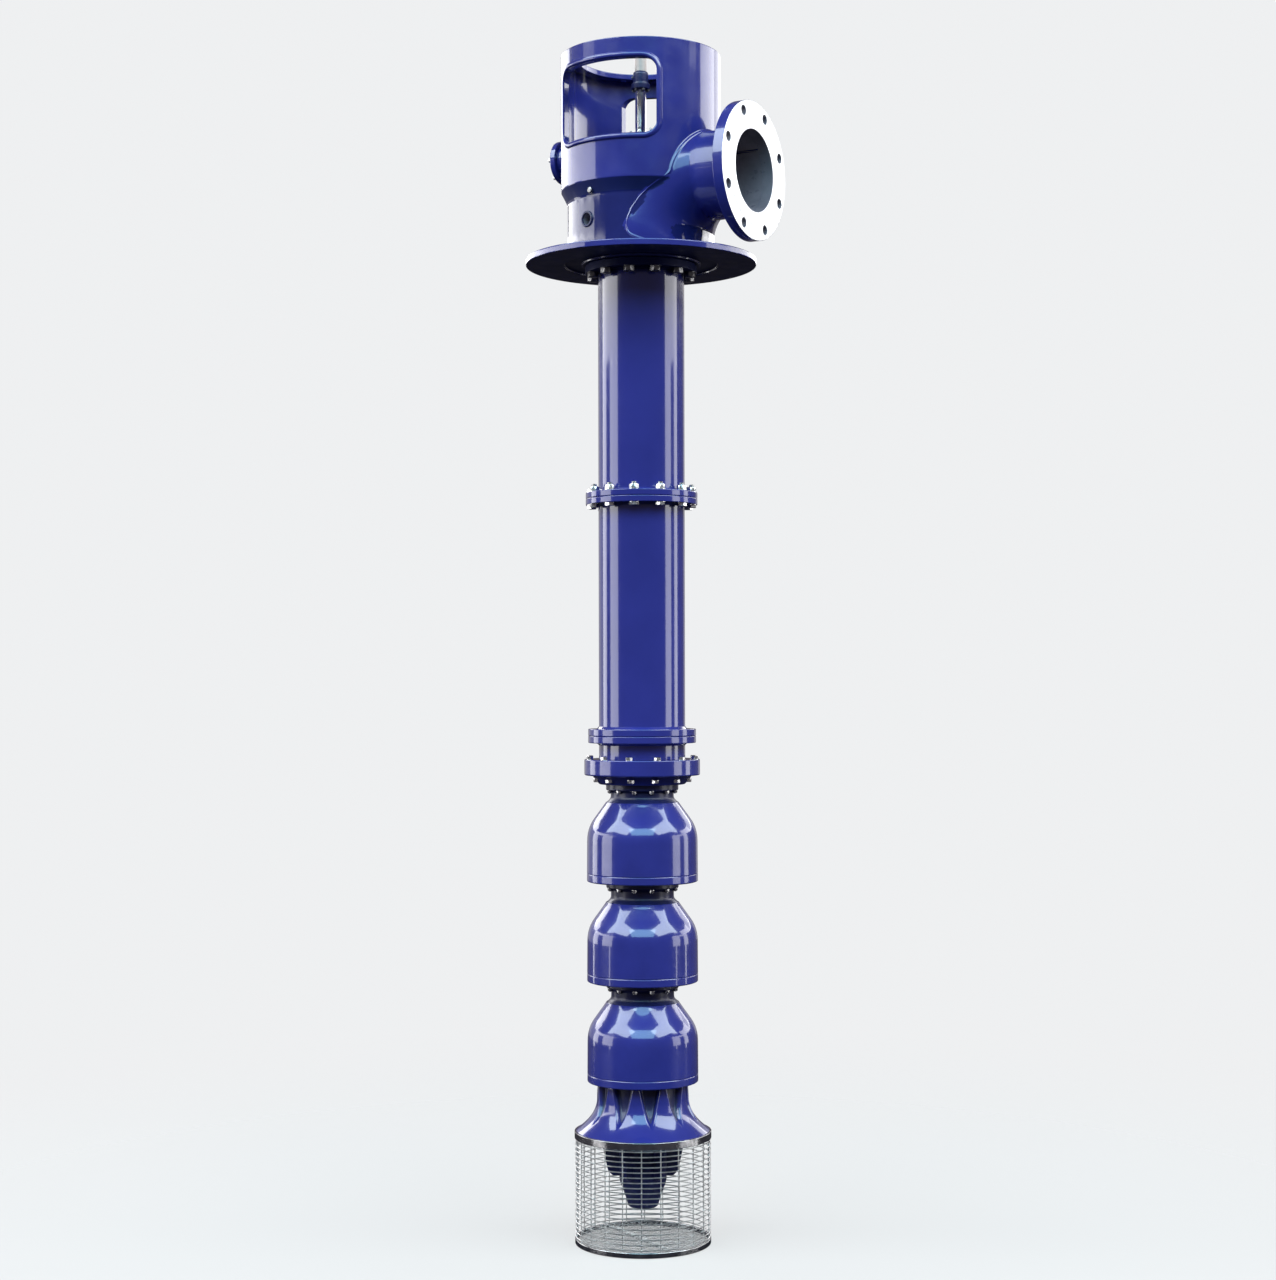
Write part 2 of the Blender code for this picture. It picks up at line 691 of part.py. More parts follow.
def lattice(name, columns, rows, place, finish, closed=True):
    """Fused crossing bars: columns and rows are (start, end) spans; place maps them to space.

    place(u, v, side) gives a point on the outer (0) or inner (1) face. Closed columns run all
    the way round; open ones end at their first and last bar.
    """
    bm = bmesh.new()
    us = [edge for span in columns for edge in span]
    vs = [edge for span in rows for edge in span]
    count_u, count_v = len(us), len(vs)
    grid = [[[bm.verts.new(place(u, v, side)) for v in vs] for u in us] for side in (0, 1)]

    cells = count_u if closed else count_u - 1

    def solid(i, j):
        inside = closed or 0 <= i < cells
        return inside and 0 <= j < count_v - 1 and (i % 2 == 0 or j % 2 == 0)

    for i in range(cells):
        k = (i + 1) % count_u
        for j in range(count_v - 1):
            if not solid(i, j):
                continue
            for side in (0, 1):
                layer = grid[side]
                bm.faces.new((layer[i][j], layer[k][j], layer[k][j + 1], layer[i][j + 1]))
            if not solid(k, j):
                bm.faces.new((grid[0][k][j], grid[0][k][j + 1], grid[1][k][j + 1], grid[1][k][j]))
            if not solid(i - 1, j):
                bm.faces.new((grid[0][i][j], grid[0][i][j + 1], grid[1][i][j + 1], grid[1][i][j]))
            if not solid(i, j - 1):
                bm.faces.new((grid[0][i][j], grid[0][k][j], grid[1][k][j], grid[1][i][j]))
            if not solid(i, j + 1):
                bm.faces.new((grid[0][i][j + 1], grid[0][k][j + 1], grid[1][k][j + 1], grid[1][i][j + 1]))
    return add_piece(name, bm, finish)


def spans(first, last, count, width):
    """Equal bars of one width, the first and last flush with the ends."""
    pitch = (last - first - width) / (count - 1)
    return [(first + pitch * i, first + pitch * i + width) for i in range(count)]


def strainer(finish):
    """Top band, basket panels of fused wires, bottom ring, grille and cross bar."""
    band = tube_profile(
        BASKET_RADIUS + BAND_PROUD, BASKET_RADIUS - RING_WALL, BELL_BOTTOM - GAP, BAND_BOTTOM
    )
    turned("strainer_top_band", band, finish)

    def on_basket(angle, height, side):
        radius = BASKET_RADIUS - side * BASKET_WIRE
        return radius * math.cos(angle), radius * math.sin(angle), height

    rows = spans(BASKET_BOTTOM + GAP, BAND_BOTTOM - GAP, HOOPS, BASKET_WIRE)
    bar_angle = BASKET_WIRE / BASKET_RADIUS
    seam_angle = GAP / BASKET_RADIUS
    arc = 2 * math.pi / BASKET_PANELS
    for number in range(1, BASKET_PANELS + 1):
        start = arc * (number - 1.5) + seam_angle
        columns = spans(start, start + arc - 2 * seam_angle, PANEL_UPRIGHTS, bar_angle)
        lattice(f"strainer_panel_{number}", columns, rows, on_basket, finish, closed=False)
    ring = tube_profile(BASKET_RADIUS, BASKET_RADIUS - RING_WALL, BASKET_BOTTOM, RING_BOTTOM)
    turned("strainer_bottom_ring", ring, finish)
    half_spoke = math.radians(1.2)
    grille_columns = [
        (2 * math.pi * i / SPOKES - half_spoke, 2 * math.pi * i / SPOKES + half_spoke)
        for i in range(SPOKES)
    ]
    grille_outer = (BASKET_RADIUS - RING_WALL) * math.cos(math.pi / FACETS_MEDIUM) - GAP
    grille_rows = spans(GRILLE_EYE_RADIUS, grille_outer, GRILLE_RINGS, 0.004)

    def on_grille(angle, radius, side):
        return radius * math.cos(angle), radius * math.sin(angle), GRILLE_TOP - side * BASKET_WIRE

    lattice("strainer_bottom_grille", grille_columns, grille_rows, on_grille, finish)
    bm = bmesh.new()
    bmesh.ops.create_cube(bm, size=1)
    bmesh.ops.scale(bm, vec=(2 * grille_outer - 0.002, BAR_WIDTH, BASKET_WIRE), verts=bm.verts)
    bar = add_piece("strainer_cross_bar", bm, finish)
    bar_middle = GRILLE_TOP - BASKET_WIRE - GAP - BASKET_WIRE / 2
    turn = Matrix.Rotation(math.radians(BAR_ANGLE), 4, "Z")
    bar.matrix_world = Matrix.Translation((0, 0, bar_middle)) @ turn


def build():
    clear_scene()
    enamel = paint("blue_enamel", (0.027, 0.035, 0.24), 0.22, 0.0)
    dark_enamel = paint("dark_blue_enamel", (0.018, 0.023, 0.15), 0.3, 0.0)
    machined = paint("machined_steel", (0.72, 0.72, 0.74), 0.3, 1.0)
    bright = paint("bright_shaft", (0.78, 0.78, 0.78), 0.18, 1.0)
    stainless = paint("stainless_wire", (0.6, 0.6, 0.6), 0.28, 1.0)
    bronze = paint("gland_bronze", (0.42, 0.27, 0.1), 0.35, 1.0)

    elbow = elbow_shape("elbow_form", 0.0, enamel)
    elbow_clearance = elbow_shape("elbow_clearance_cutter", ELBOW_CLEARANCE, enamel)
    passage = waterway(enamel)
    drum_profile = rod_profile(DRUM_RADIUS + GAP, FLARE_BOTTOM, 0.0)
    drum = make_guide(turned("drum_cutter", drum_profile, enamel, FACETS_LARGE))

    base_plate(enamel)
    discharge_body(enamel, elbow, passage)
    discharge_flange(enamel)
    motor_stand(enamel, elbow_clearance)
    stand_top_ring(enamel)
    window_rim("window_rim_front", -1, enamel)
    window_rim("window_rim_back", 1, enamel)
    side_port(enamel)
    drain_plug(dark_enamel, drum)
    stuffing_box(enamel)
    packing_gland(bronze)
    rotor(bright, machined, dark_enamel)
    column(enamel)
    bowl_adapter(enamel)
    neck_top = ADAPTER_BOTTOM
    for number in range(1, BOWL_COUNT + 1):
        bottom = FIRST_BOWL_BOTTOM - BOWL_PITCH * (number - 1)
        bowl(number, bottom, neck_top, enamel, dark_enamel)
        neck_top = bottom
    bell_top = neck_top - GAP
    suction_bell(enamel, bell_top)
    roof = bell_top - BELL_ROOF - GAP
    suction_hub(dark_enamel, roof)
    for number in range(1, RIB_COUNT + 1):
        suction_rib(number, dark_enamel, roof)
    strainer(stainless)


build()
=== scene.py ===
# Looks of a vertical turbine pump: enamelled castings, bright bolts and a wire strainer
import math

import bmesh
import bpy
import numpy as np
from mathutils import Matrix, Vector


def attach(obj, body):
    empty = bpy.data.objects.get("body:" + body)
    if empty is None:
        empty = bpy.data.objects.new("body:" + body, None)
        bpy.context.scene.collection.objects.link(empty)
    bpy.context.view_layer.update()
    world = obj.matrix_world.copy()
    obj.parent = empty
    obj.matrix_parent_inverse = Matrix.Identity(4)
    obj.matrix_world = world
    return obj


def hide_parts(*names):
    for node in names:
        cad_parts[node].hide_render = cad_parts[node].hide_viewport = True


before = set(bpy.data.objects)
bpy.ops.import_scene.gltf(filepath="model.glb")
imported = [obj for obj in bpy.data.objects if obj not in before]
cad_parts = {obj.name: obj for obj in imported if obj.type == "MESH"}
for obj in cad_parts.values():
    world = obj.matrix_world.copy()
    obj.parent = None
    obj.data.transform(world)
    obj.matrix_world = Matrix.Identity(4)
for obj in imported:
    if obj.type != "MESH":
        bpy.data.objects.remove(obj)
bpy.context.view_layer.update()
print("frame loaded:", len(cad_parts), "solids")

# Shared sizes in metres: the shaft is the Z axis, the outlet points along +X
pump = {
    "cameraSide": -60,  # degrees round Z of the side that faces the camera
    "boltTurn": -14,  # degrees from there to the first bolt of most joints
    "seam": 0.0003,  # between pieces that touch
    "plateTop": 0.016,
    "drumRadius": 0.186,
    "flareBottom": 0.152,
    "flareTop": 0.187,
    "flareCurve": 1.15,
    "standRadius": 0.203,
    "standWall": 0.015,
    "standTop": 0.530,
    "floorTop": 0.291,
    "outletHeight": 0.207,
    "outletFace": 0.325,
    "outletFlange": 0.0285,
    "neckRadius": 0.1095,
    "boreRadius": 0.10135,
    "bendX": 0.203,
    "bendRadius": 0.201,
    "pipeRadius": 0.10955,
}

def linked(name, data):
    # A new object with this data, put in the scene
    thing = bpy.data.objects.new(name, data)
    bpy.context.scene.collection.objects.link(thing)
    return thing


shot = {"place": (2.856, -4.967, -1.058), "turn": (90, 0.13, 30.0), "lens": 63.3, "lift": 0.033}
camera = linked("shotCamera", bpy.data.cameras.new("shotCamera"))
camera.location = shot["place"]
camera.rotation_euler = [math.radians(angle) for angle in shot["turn"]]
camera.data.lens = shot["lens"]
camera.data.shift_y = shot["lift"]
bpy.context.scene.camera = camera


def outward(points, quads, triangles):
    # Six times the volume is the sum over the faces of a . (b x c); where it is negative, the
    # faces are turned round
    corners = np.vstack([quads[:, [0, 1, 2]], quads[:, [0, 2, 3]], triangles])
    a, b, c = (points[corners[:, i]] for i in range(3))
    if np.einsum("ij,ij->", a, np.cross(b, c)) < 0:
        quads, triangles = quads[:, ::-1], triangles[:, ::-1]
    return {"points": points, "quads": quads, "triangles": triangles}


def skin(rows, loop=False):
    # Each row is a closed ring of points P(row, column): quads join it to the next row. A loop
    # joins the last row to the first, otherwise a fan to the ring's mean point closes each end
    count, around = rows.shape[:2]
    index = np.arange(count * around).reshape(count, around)
    aside = np.roll(index, -1, axis=1)
    above, aboveAside = np.roll(index, -1, axis=0), np.roll(aside, -1, axis=0)
    last = count if loop else count - 1
    quads = np.stack([index, aside, aboveAside, above], axis=-1)[:last].reshape(-1, 4)
    points = rows.reshape(-1, 3)
    triangles = np.zeros((0, 3), int)
    if not loop:
        centres = np.full((2, around), [[len(points)], [len(points) + 1]])
        points = np.vstack([points, rows[0].mean(0), rows[-1].mean(0)])
        triangles = np.vstack([
            np.stack([aside[0], index[0], centres[0]], axis=-1),
            np.stack([index[-1], aside[-1], centres[1]], axis=-1),
        ])
    return outward(points, quads, triangles)


def together(*shapes):
    # Several closed shapes as one: their points in one list, their faces renumbered
    starts = np.cumsum([0] + [len(shape["points"]) for shape in shapes[:-1]])
    return {
        "points": np.vstack([shape["points"] for shape in shapes]),
        "quads": np.vstack([shape["quads"] + start for shape, start in zip(shapes, starts)]),
        "triangles": np.vstack([shape["triangles"] + start for shape, start in zip(shapes, starts)]),
    }


def placed(shape, places):
    # One copy for each 4 x 4 place M, all at once: p' = M p
    points = np.hstack([shape["points"], np.ones((len(shape["points"]), 1))])
    moved = np.einsum("kij,nj->kni", places, points)[..., :3]
    step = np.arange(len(places))[:, None, None] * len(points)
    return {
        "points": moved.reshape(-1, 3),
        "quads": (shape["quads"][None] + step).reshape(-1, 4),
        "triangles": (shape["triangles"][None] + step).reshape(-1, 3),
    }


def ringPlaces(count, radius, height, first=0.0, down=False):
    # Places on a circle: local x points outwards, local z up or down, y across
    angles = np.radians(first + 360 * np.arange(count) / count)
    side = -1 if down else 1
    places = np.zeros((count, 4, 4))
    places[:, 0, 0], places[:, 1, 0] = np.cos(angles), np.sin(angles)
    places[:, 0, 1], places[:, 1, 1] = -side * np.sin(angles), side * np.cos(angles)
    places[:, 2, 2], places[:, 3, 3] = side, 1
    places[:, 0, 3], places[:, 1, 3] = radius * np.cos(angles), radius * np.sin(angles)
    places[:, 2, 3] = height
    return places


def sidePlace(angle, reach, height):
    # A place on a vertical wall: local z points straight out at that angle, local x up
    turn = math.radians(angle)
    out = np.array([math.cos(turn), math.sin(turn), 0])
    place = np.eye(4)
    place[:3, 0] = (0, 0, 1)
    place[:3, 1] = np.cross(out, (0, 0, 1))
    place[:3, 2] = out
    place[:3, 3] = out * reach + np.array([0, 0, height])
    return place[None]


def fullTurn(count):
    # Even angles once round
    return np.linspace(0, 2 * np.pi, count, endpoint=False)


def ringPoints(radius, angle, height):
    # Points round the Z axis: P = (r cos a, r sin a, z)
    return np.stack([radius * np.cos(angle), radius * np.sin(angle), height], axis=-1)


def bezier(start, middle, end, share):
    # A quadratic Bezier curve: (1 - s)^2 A + 2 s (1 - s) B + s^2 C
    return (1 - share) ** 2 * start + 2 * share * (1 - share) * middle + share**2 * end


def rounded(corners, loop=False, steps=6):
    # A line through (radius, height, rounding) corners. A rounding starts that far from the
    # corner on both sides, and no further than 0.42 of the way to the next one, and is a Bezier
    # curve with the corner as its middle point. One more point beyond each end keeps the flat
    # sides' shading flat. Corners on the axis only end the line, and are left out at the end
    points = np.array([corner[:2] for corner in corners], float)
    share = np.linspace(0, 1, steps + 1)[:, None]
    most, beyond, onAxis = 0.42, 0.18, 1e-6
    line = []
    for i, corner in enumerate(corners):
        here, reach = points[i], corner[2] if len(corner) > 2 else 0
        inside = loop or 0 < i < len(corners) - 1
        if not reach or not inside:
            line.append(here[None])
            continue
        ends = []
        for other in (points[i - 1], points[(i + 1) % len(points)]):
            side = other - here
            long = np.hypot(*side)
            ends.append(here + side * min(reach, most * long) / long)
        first, last = (end + beyond * (end - here) for end in ends)
        line += [first[None], bezier(ends[0], here, ends[1], share), last[None]]
    line = np.vstack(line)
    return line[line[:, 0] > onAxis]


def turned(corners, around=128, loop=False, ripple=None):
    # P(t, a) = (r cos a, r sin a, z), with r(t) and z(t) from the rounded line. A ripple adds
    # to r a function of angle and height
    line = rounded(corners, loop)
    angle = fullTurn(around)[None]
    radius, height = line[:, :1], line[:, 1:] + 0 * angle
    if ripple:
        radius = radius + ripple(angle, height)
    return skin(ringPoints(radius, angle, height), loop)


def unit(vectors):
    # Vectors of length 1: v / |v|
    return vectors / np.linalg.norm(vectors, axis=1, keepdims=True)


def fromShaft(points):
    # Distance from the shaft's axis: sqrt(x^2 + y^2)
    return np.hypot(points[..., 0], points[..., 1])


def tube(path, radius, around=8, loop=False):
    # A round wire along a path: P(t, a) = path(t) + r (cos a U + sin a V), where V is across
    # both the path and a fixed side direction, and U is across V and the path
    ahead = np.roll(path, -1, axis=0) - np.roll(path, 1, axis=0) if loop else np.gradient(path, axis=0)
    ahead = unit(ahead)
    side = np.array([0, 0, 1.0]) if abs(ahead[:, 2]).max() < 0.9 else np.array([1.0, 0, 0])
    across = unit(np.cross(ahead, side))
    up = np.cross(across, ahead)
    angle = fullTurn(around)[None, :, None]
    rows = path[:, None] + radius * (np.cos(angle) * up[:, None] + np.sin(angle) * across[:, None])
    return skin(rows, loop)


# Shares of half the flats, but the bevel's is of the height and the thread's of the flats
boltShape = {
    "washer": 1.2, "washerTop": 1.16, "crown": 1.04, "top": 0.94, "bevel": 0.12, "thread": 0.31, "turns": 4,
}


def fastener(look, around=24):
    # A washer, a hexagon and a stud end on one axis. The hexagon's radius at angle a is
    # half its flats / cos(a'), with a' measured from the middle of the nearest flat
    angle = fullTurn(around)
    circle = np.ones(around)
    half = look["flats"] / 2
    fromFlat = (angle + np.pi / 6) % (np.pi / 3) - np.pi / 6
    hexagon = half / np.cos(fromFlat)
    washer, top = look["washer"], look["washer"] + look["height"]
    edge = boltShape["bevel"] * look["height"]
    rows = [
        (circle * half * boltShape["washer"], 0),
        (circle * half * boltShape["washer"], washer * 0.8),
        (circle * half * boltShape["washerTop"], washer),
        (hexagon, washer),
        (hexagon, top - edge),
        (np.minimum(hexagon, half * boltShape["crown"]), top - edge * 0.4),
        (circle * half * boltShape["top"], top),
    ]
    if look["stud"]:
        thread, steps = look["flats"] * boltShape["thread"], 2 * boltShape["turns"] + 1
        for i in range(steps):
            rows.append((circle * thread * (1 if i % 2 else 0.9), top + look["stud"] * i / steps))
        rows.append((circle * thread * 0.8, top + look["stud"]))
    radius = np.array([row[0] for row in rows])
    height = np.array([row[1] for row in rows])[:, None] + 0 * radius
    return skin(ringPoints(radius, angle, height))


def drill(radius, high, low, around):
    # A round rod that cuts a hole along its own Z axis
    return turned([(0, high), (radius, high), (radius, low), (0, low)], around)


def shade(piece, crease=38):
    piece.data.shade_smooth()
    piece.data.set_sharp_from_angle(angle=math.radians(crease))


def dress(piece, finish, stands, body="pump_body", crease=38):
    # Gives a piece its finish and its body, hides the solids that it stands for, and shades it smooth
    piece.data.materials.append(finishes[finish])
    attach(piece, body)
    if stands:
        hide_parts(*stands)
    shade(piece, crease)


def fromShape(name, shape):
    mesh = bpy.data.meshes.new(name)
    mesh.from_pydata(shape["points"].tolist(), [], shape["quads"].tolist() + shape["triangles"].tolist())
    return linked(name, mesh)


def makePiece(name, shape, finish, stands=(), body="pump_body", crease=38):
    piece = fromShape(name, shape)
    dress(piece, finish, stands, body, crease)
    return piece


def boltSet(name, finish, *sets, body="pump_body"):
    # All the bolts of one joint as one piece; each set is a kind of fastener and its places
    makePiece(name, together(*[placed(fastener(look), places) for look, places in sets]), finish, body=body)


def tool(name, shape):
    # A shape that only joins to a piece or cuts it
    cutter = fromShape(name, shape)
    cutter.hide_render = True
    return cutter


def carve(piece, steps):
    # Joins or cuts the tools one after the other, keeps the result as the piece's mesh and
    # removes the tools
    for operation, cutter in steps:
        step = piece.modifiers.new(cutter.name, "BOOLEAN")
        step.operation = operation
        step.solver = "EXACT"
        step.object = cutter
    bpy.context.view_layer.update()
    result = bpy.data.meshes.new_from_object(piece.evaluated_get(bpy.context.evaluated_depsgraph_get()))
    piece.modifiers.clear()
    piece.data = result
    for _, cutter in steps:
        bpy.data.objects.remove(cutter, do_unlink=True)
    shade(piece)


def repaint(piece, finish, chosen):
    # Gives a second finish to the faces that the choice picks by their centres and normals
    mesh = piece.data
    centres = np.zeros(3 * len(mesh.polygons))
    normals = np.zeros(3 * len(mesh.polygons))
    mesh.polygons.foreach_get("center", centres)
    mesh.polygons.foreach_get("normal", normals)
    picked = chosen(centres.reshape(-1, 3), normals.reshape(-1, 3))
    mesh.materials.append(finishes[finish])
    slots = np.zeros(len(mesh.polygons), int)
    mesh.polygons.foreach_get("material_index", slots)
    slots[picked] = len(mesh.materials) - 1
    mesh.polygons.foreach_set("material_index", slots)


def wire(node, inputs):
    # Gives each named input its value, or a link where the value is another node's output
    for name, value in inputs.items():
        if isinstance(value, bpy.types.NodeSocket):
            node.id_data.links.new(value, node.inputs[name])
        else:
            node.inputs[name].default_value = value


def mapped(nodes, value, low, high, lowest=0.3, highest=0.7, curve="LINEAR"):
    # A value from lowest to highest becomes one from low to high
    step = nodes.new("ShaderNodeMapRange")
    step.interpolation_type = curve
    wire(step, {"Value": value, "From Min": lowest, "From Max": highest, "To Min": low, "To Max": high})
    return step.outputs["Result"]


def mixed(nodes, share, first, second):
    # first (1 - share) + second x share
    mix = nodes.new("ShaderNodeMix")
    mix.data_type = "RGBA"
    wire(mix, {"Factor": share, "A": (*first, 1), "B": (*second, 1)})
    return mix.outputs["Result"]


def distance(nodes, point, centre, mask):
    # The length of (P - centre) x mask: a mask of 0 leaves an axis out
    for operation, value in (("SUBTRACT", centre), ("MULTIPLY", mask)):
        step = nodes.new("ShaderNodeVectorMath")
        step.operation = operation
        wire(step, {0: point, 1: value})
        point = step.outputs["Vector"]
    length = nodes.new("ShaderNodeVectorMath")
    length.operation = "LENGTH"
    wire(length, {0: point})
    return length.outputs["Value"]


def newFinish(name, look):
    # Colour: two tones mixed by a soft noise. Roughness: another noise between two values.
    # Relief: one noise for each (size, depth) pair, and turning marks round an axis if asked
    finish = bpy.data.materials.new(name)
    finish.use_nodes = True
    nodes = finish.node_tree.nodes
    shader = nodes["Principled BSDF"]
    where = nodes.new("ShaderNodeTexCoord").outputs["Object"]

    def noise(size):
        texture = nodes.new("ShaderNodeTexNoise")
        wire(texture, {"Scale": 1 / size, "Detail": 3.0, "Vector": where})
        return texture.outputs["Fac"]

    tones = mapped(nodes, noise(look["patch"]), 0, 1)
    wire(shader, {
        "Base Color": mixed(nodes, tones, look["deep"], look["light"]),
        "Roughness": mapped(nodes, noise(look["patch"] * 0.4), *look["rough"]),
        "Metallic": look.get("metal", 0),
        "Coat Weight": look.get("coat", 0),
        "Coat Roughness": 0.04,
        "Specular IOR Level": look.get("specular", 0.5),
    })
    heights = [(noise(size), depth) for size, depth in look["relief"]]
    if "turning" in look:
        centre, mask, pitch, depth = look["turning"]
        rings = nodes.new("ShaderNodeTexNoise")
        rings.noise_dimensions = "1D"
        wire(rings, {"Scale": 1 / pitch, "W": distance(nodes, where, centre, mask)})
        heights.append((rings.outputs["Fac"], depth))
    below = {}
    for height, depth in heights:
        bump = nodes.new("ShaderNodeBump")
        wire(bump, {"Distance": depth, "Height": height, **below})
        below = {"Normal": bump.outputs["Normal"]}
    wire(shader, below)
    return finish


# Tones, patch width, roughness from and to, relief as (width, depth) pairs, and turning marks as
# (centre, axes that count, pitch, depth). A slot is given where a whole piece has the finish
castPaint = {
    "slot": "blue_enamel", "deep": (0.0135, 0.0175, 0.135), "light": (0.0185, 0.023, 0.170), "patch": 0.12,
    "rough": (0.16, 0.26), "coat": 1.0, "specular": 0.25, "relief": ((0.045, 0.0009), (0.004, 0.00006)),
}
finishLooks = {
    "castEnamel": castPaint,
    "pipeEnamel": {
        **castPaint, "deep": (0.0138, 0.0180, 0.138), "light": (0.0185, 0.0225, 0.166), "patch": 0.2,
        "rough": (0.14, 0.22), "relief": ((0.09, 0.0006), (0.003, 0.00003)),
    },
    # A darker blue enamel; in the bell's pockets it is painted shade
    "darkEnamelAndPocketShade": {
        **castPaint, "slot": "dark_blue_enamel", "deep": (0.005, 0.007, 0.040),
        "light": (0.008, 0.011, 0.070), "patch": 0.05, "rough": (0.3, 0.45), "coat": 0.2, "specular": 0.3,
        "relief": ((0.03, 0.0008), (0.003, 0.00006)),
    },
    "elbowEnamel": {**castPaint, "coat": 0.5},
    "plateEnamel": {**castPaint, "relief": ((0.09, 0.00012), (0.004, 0.00003))},
    # A darker enamel for the drum's wall: painted shade under the stand's overhang
    "drumShadeEnamel": {
        **castPaint, "deep": (0.007, 0.010, 0.065), "light": (0.010, 0.014, 0.09), "rough": (0.12, 0.2),
        "specular": 0.04,
    },
    # A darker, duller enamel for faces that look down: painted shade on the flare, the plate's underside
    # and the flange below it
    "undersideShadeEnamel": {
        **castPaint, "deep": (0.006, 0.010, 0.055), "light": (0.009, 0.014, 0.08), "rough": (0.4, 0.5),
        "coat": 0.06, "specular": 0.12,
    },
    # A grey coating for the bore; in the drain's socket and the flange's bolt holes the same grey is
    # painted shade
    "greyCoatAndHoleShade": {
        "deep": (0.13, 0.12, 0.145), "light": (0.21, 0.19, 0.22), "patch": 0.06, "rough": (0.26, 0.4),
        "relief": ((0.03, 0.0012), (0.003, 0.0001)),
    },
    "facedSteel": {
        "deep": (0.66, 0.67, 0.69), "light": (0.80, 0.80, 0.82), "patch": 0.05, "rough": (0.32, 0.46),
        "metal": 0.85, "relief": ((0.0015, 0.00002),),
        "turning": ((0, 0, pump["outletHeight"]), (0, 1, 1), 0.0009, 0.00012),
    },
    "facedRim": {
        "deep": (0.55, 0.56, 0.58), "light": (0.70, 0.70, 0.72), "patch": 0.05, "rough": (0.25, 0.4),
        "metal": 1.0, "relief": ((0.0015, 0.00002),), "turning": ((0, 0, 0), (1, 1, 0), 0.0009, 0.00012),
    },
    "polishedShaft": {
        "slot": "bright_shaft", "deep": (0.72, 0.72, 0.73), "light": (0.82, 0.82, 0.83), "patch": 0.03,
        "rough": (0.16, 0.24), "metal": 1.0, "relief": ((0.002, 0.00001),),
        "turning": ((0, 0, -5), (0, 0, 1), 0.0006, 0.00001),
    },
    "greyShaft": {
        "slot": "machined_steel", "deep": (0.34, 0.28, 0.26), "light": (0.42, 0.35, 0.32), "patch": 0.03,
        "rough": (0.35, 0.45), "metal": 0.3, "relief": ((0.002, 0.00002),),
        "turning": ((0, 0, -5), (0, 0, 1), 0.0006, 0.00002),
    },
    "zincBolt": {
        "slot": "machined_steel", "deep": (0.62, 0.62, 0.62), "light": (0.85, 0.85, 0.84), "patch": 0.006,
        "rough": (0.18, 0.32), "metal": 1.0, "relief": ((0.002, 0.00004),),
    },
    # Darker steel for bolts that sit in shade: painted shade under the plate, inside the stand and under
    # the flare
    "paintedShadeBolt": {
        "slot": "machined_steel", "deep": (0.16, 0.16, 0.17), "light": (0.30, 0.30, 0.30), "patch": 0.006,
        "rough": (0.3, 0.45), "metal": 1.0, "relief": ((0.002, 0.00004),),
    },
    "stainless": {
        "slot": "stainless_wire", "deep": (0.66, 0.66, 0.66), "light": (0.88, 0.88, 0.87), "patch": 0.01,
        "rough": (0.28, 0.42), "metal": 1.0, "relief": ((0.002, 0.00003),),
    },
    "bandSteel": {
        "slot": "stainless_wire", "deep": (0.42, 0.43, 0.45), "light": (0.62, 0.62, 0.62), "patch": 0.03,
        "rough": (0.12, 0.22), "metal": 1.0, "relief": ((0.003, 0.00002),),
    },
    "castBronze": {
        "slot": "gland_bronze", "deep": (0.30, 0.18, 0.06), "light": (0.48, 0.31, 0.12), "patch": 0.012,
        "rough": (0.3, 0.5), "metal": 1.0, "relief": ((0.006, 0.0003), (0.0015, 0.00008)),
    },
}
finishes = {name: newFinish(name, look) for name, look in finishLooks.items()}
print("finishes made:", len(finishes))


def flareLine():
    # The casting narrows from the stand to the drum: r = drum + step (1 - s)^curve down the flare
    share = np.linspace(0, 1, 9)
    step = pump["standRadius"] - pump["drumRadius"]
    radius = pump["drumRadius"] + step * (1 - share) ** pump["flareCurve"]
    height = pump["flareTop"] - (pump["flareTop"] - pump["flareBottom"]) * share
    return radius, height


def bodyRadius(height):
    # Outer radius of drum, flare and stand at any height
    radius, level = flareLine()
    return np.interp(height, level[::-1], radius[::-1])


elbowLook = {
    "growth": 0.079, "growthRate": 1.05, "taperFrom": 56, "taperOver": 30, "taper": 0.010, "end": 84,
    "roofRounding": 0.10, "filletWidth": 0.008, "bead": 0.0016, "beadSpread": 0.17,
}


def elbowPoints(travel, spin):
    # The outer skin: a circle carried along the bend. Its radius grows from the neck's by
    # growth x sin(rate x turn), and the side away from the bend's centre is held at the neck's
    # radius by a smooth minimum, min(a, b) - max(k - |a - b|, 0)^2 / 4k, so the roof stays flat
    look = elbowLook
    turn = np.maximum(travel, 0) / pump["bendRadius"]
    level = np.maximum(-travel, 0)
    late = np.clip((np.degrees(turn) - look["taperFrom"]) / look["taperOver"], 0, 1)
    grown = look["growth"] * np.sin(np.minimum(look["growthRate"] * turn, np.pi / 2))
    grown = grown - look["taper"] * late**2
    radius = pump["neckRadius"] + grown
    lift, limit = radius * np.cos(spin), pump["neckRadius"]
    soft = look["roofRounding"] * np.maximum(grown, 1e-6)
    lift = np.minimum(lift, limit) - np.maximum(soft - np.abs(lift - limit), 0) ** 2 / (4 * soft)
    reach = pump["bendRadius"] + lift
    x = pump["bendX"] + level - reach * np.sin(turn)
    y = radius * np.sin(spin) + 0 * x
    z = pump["outletHeight"] - pump["bendRadius"] + reach * np.cos(turn)
    return np.stack([x, y, np.maximum(z, pump["plateTop"] + 0.001)], axis=-1)


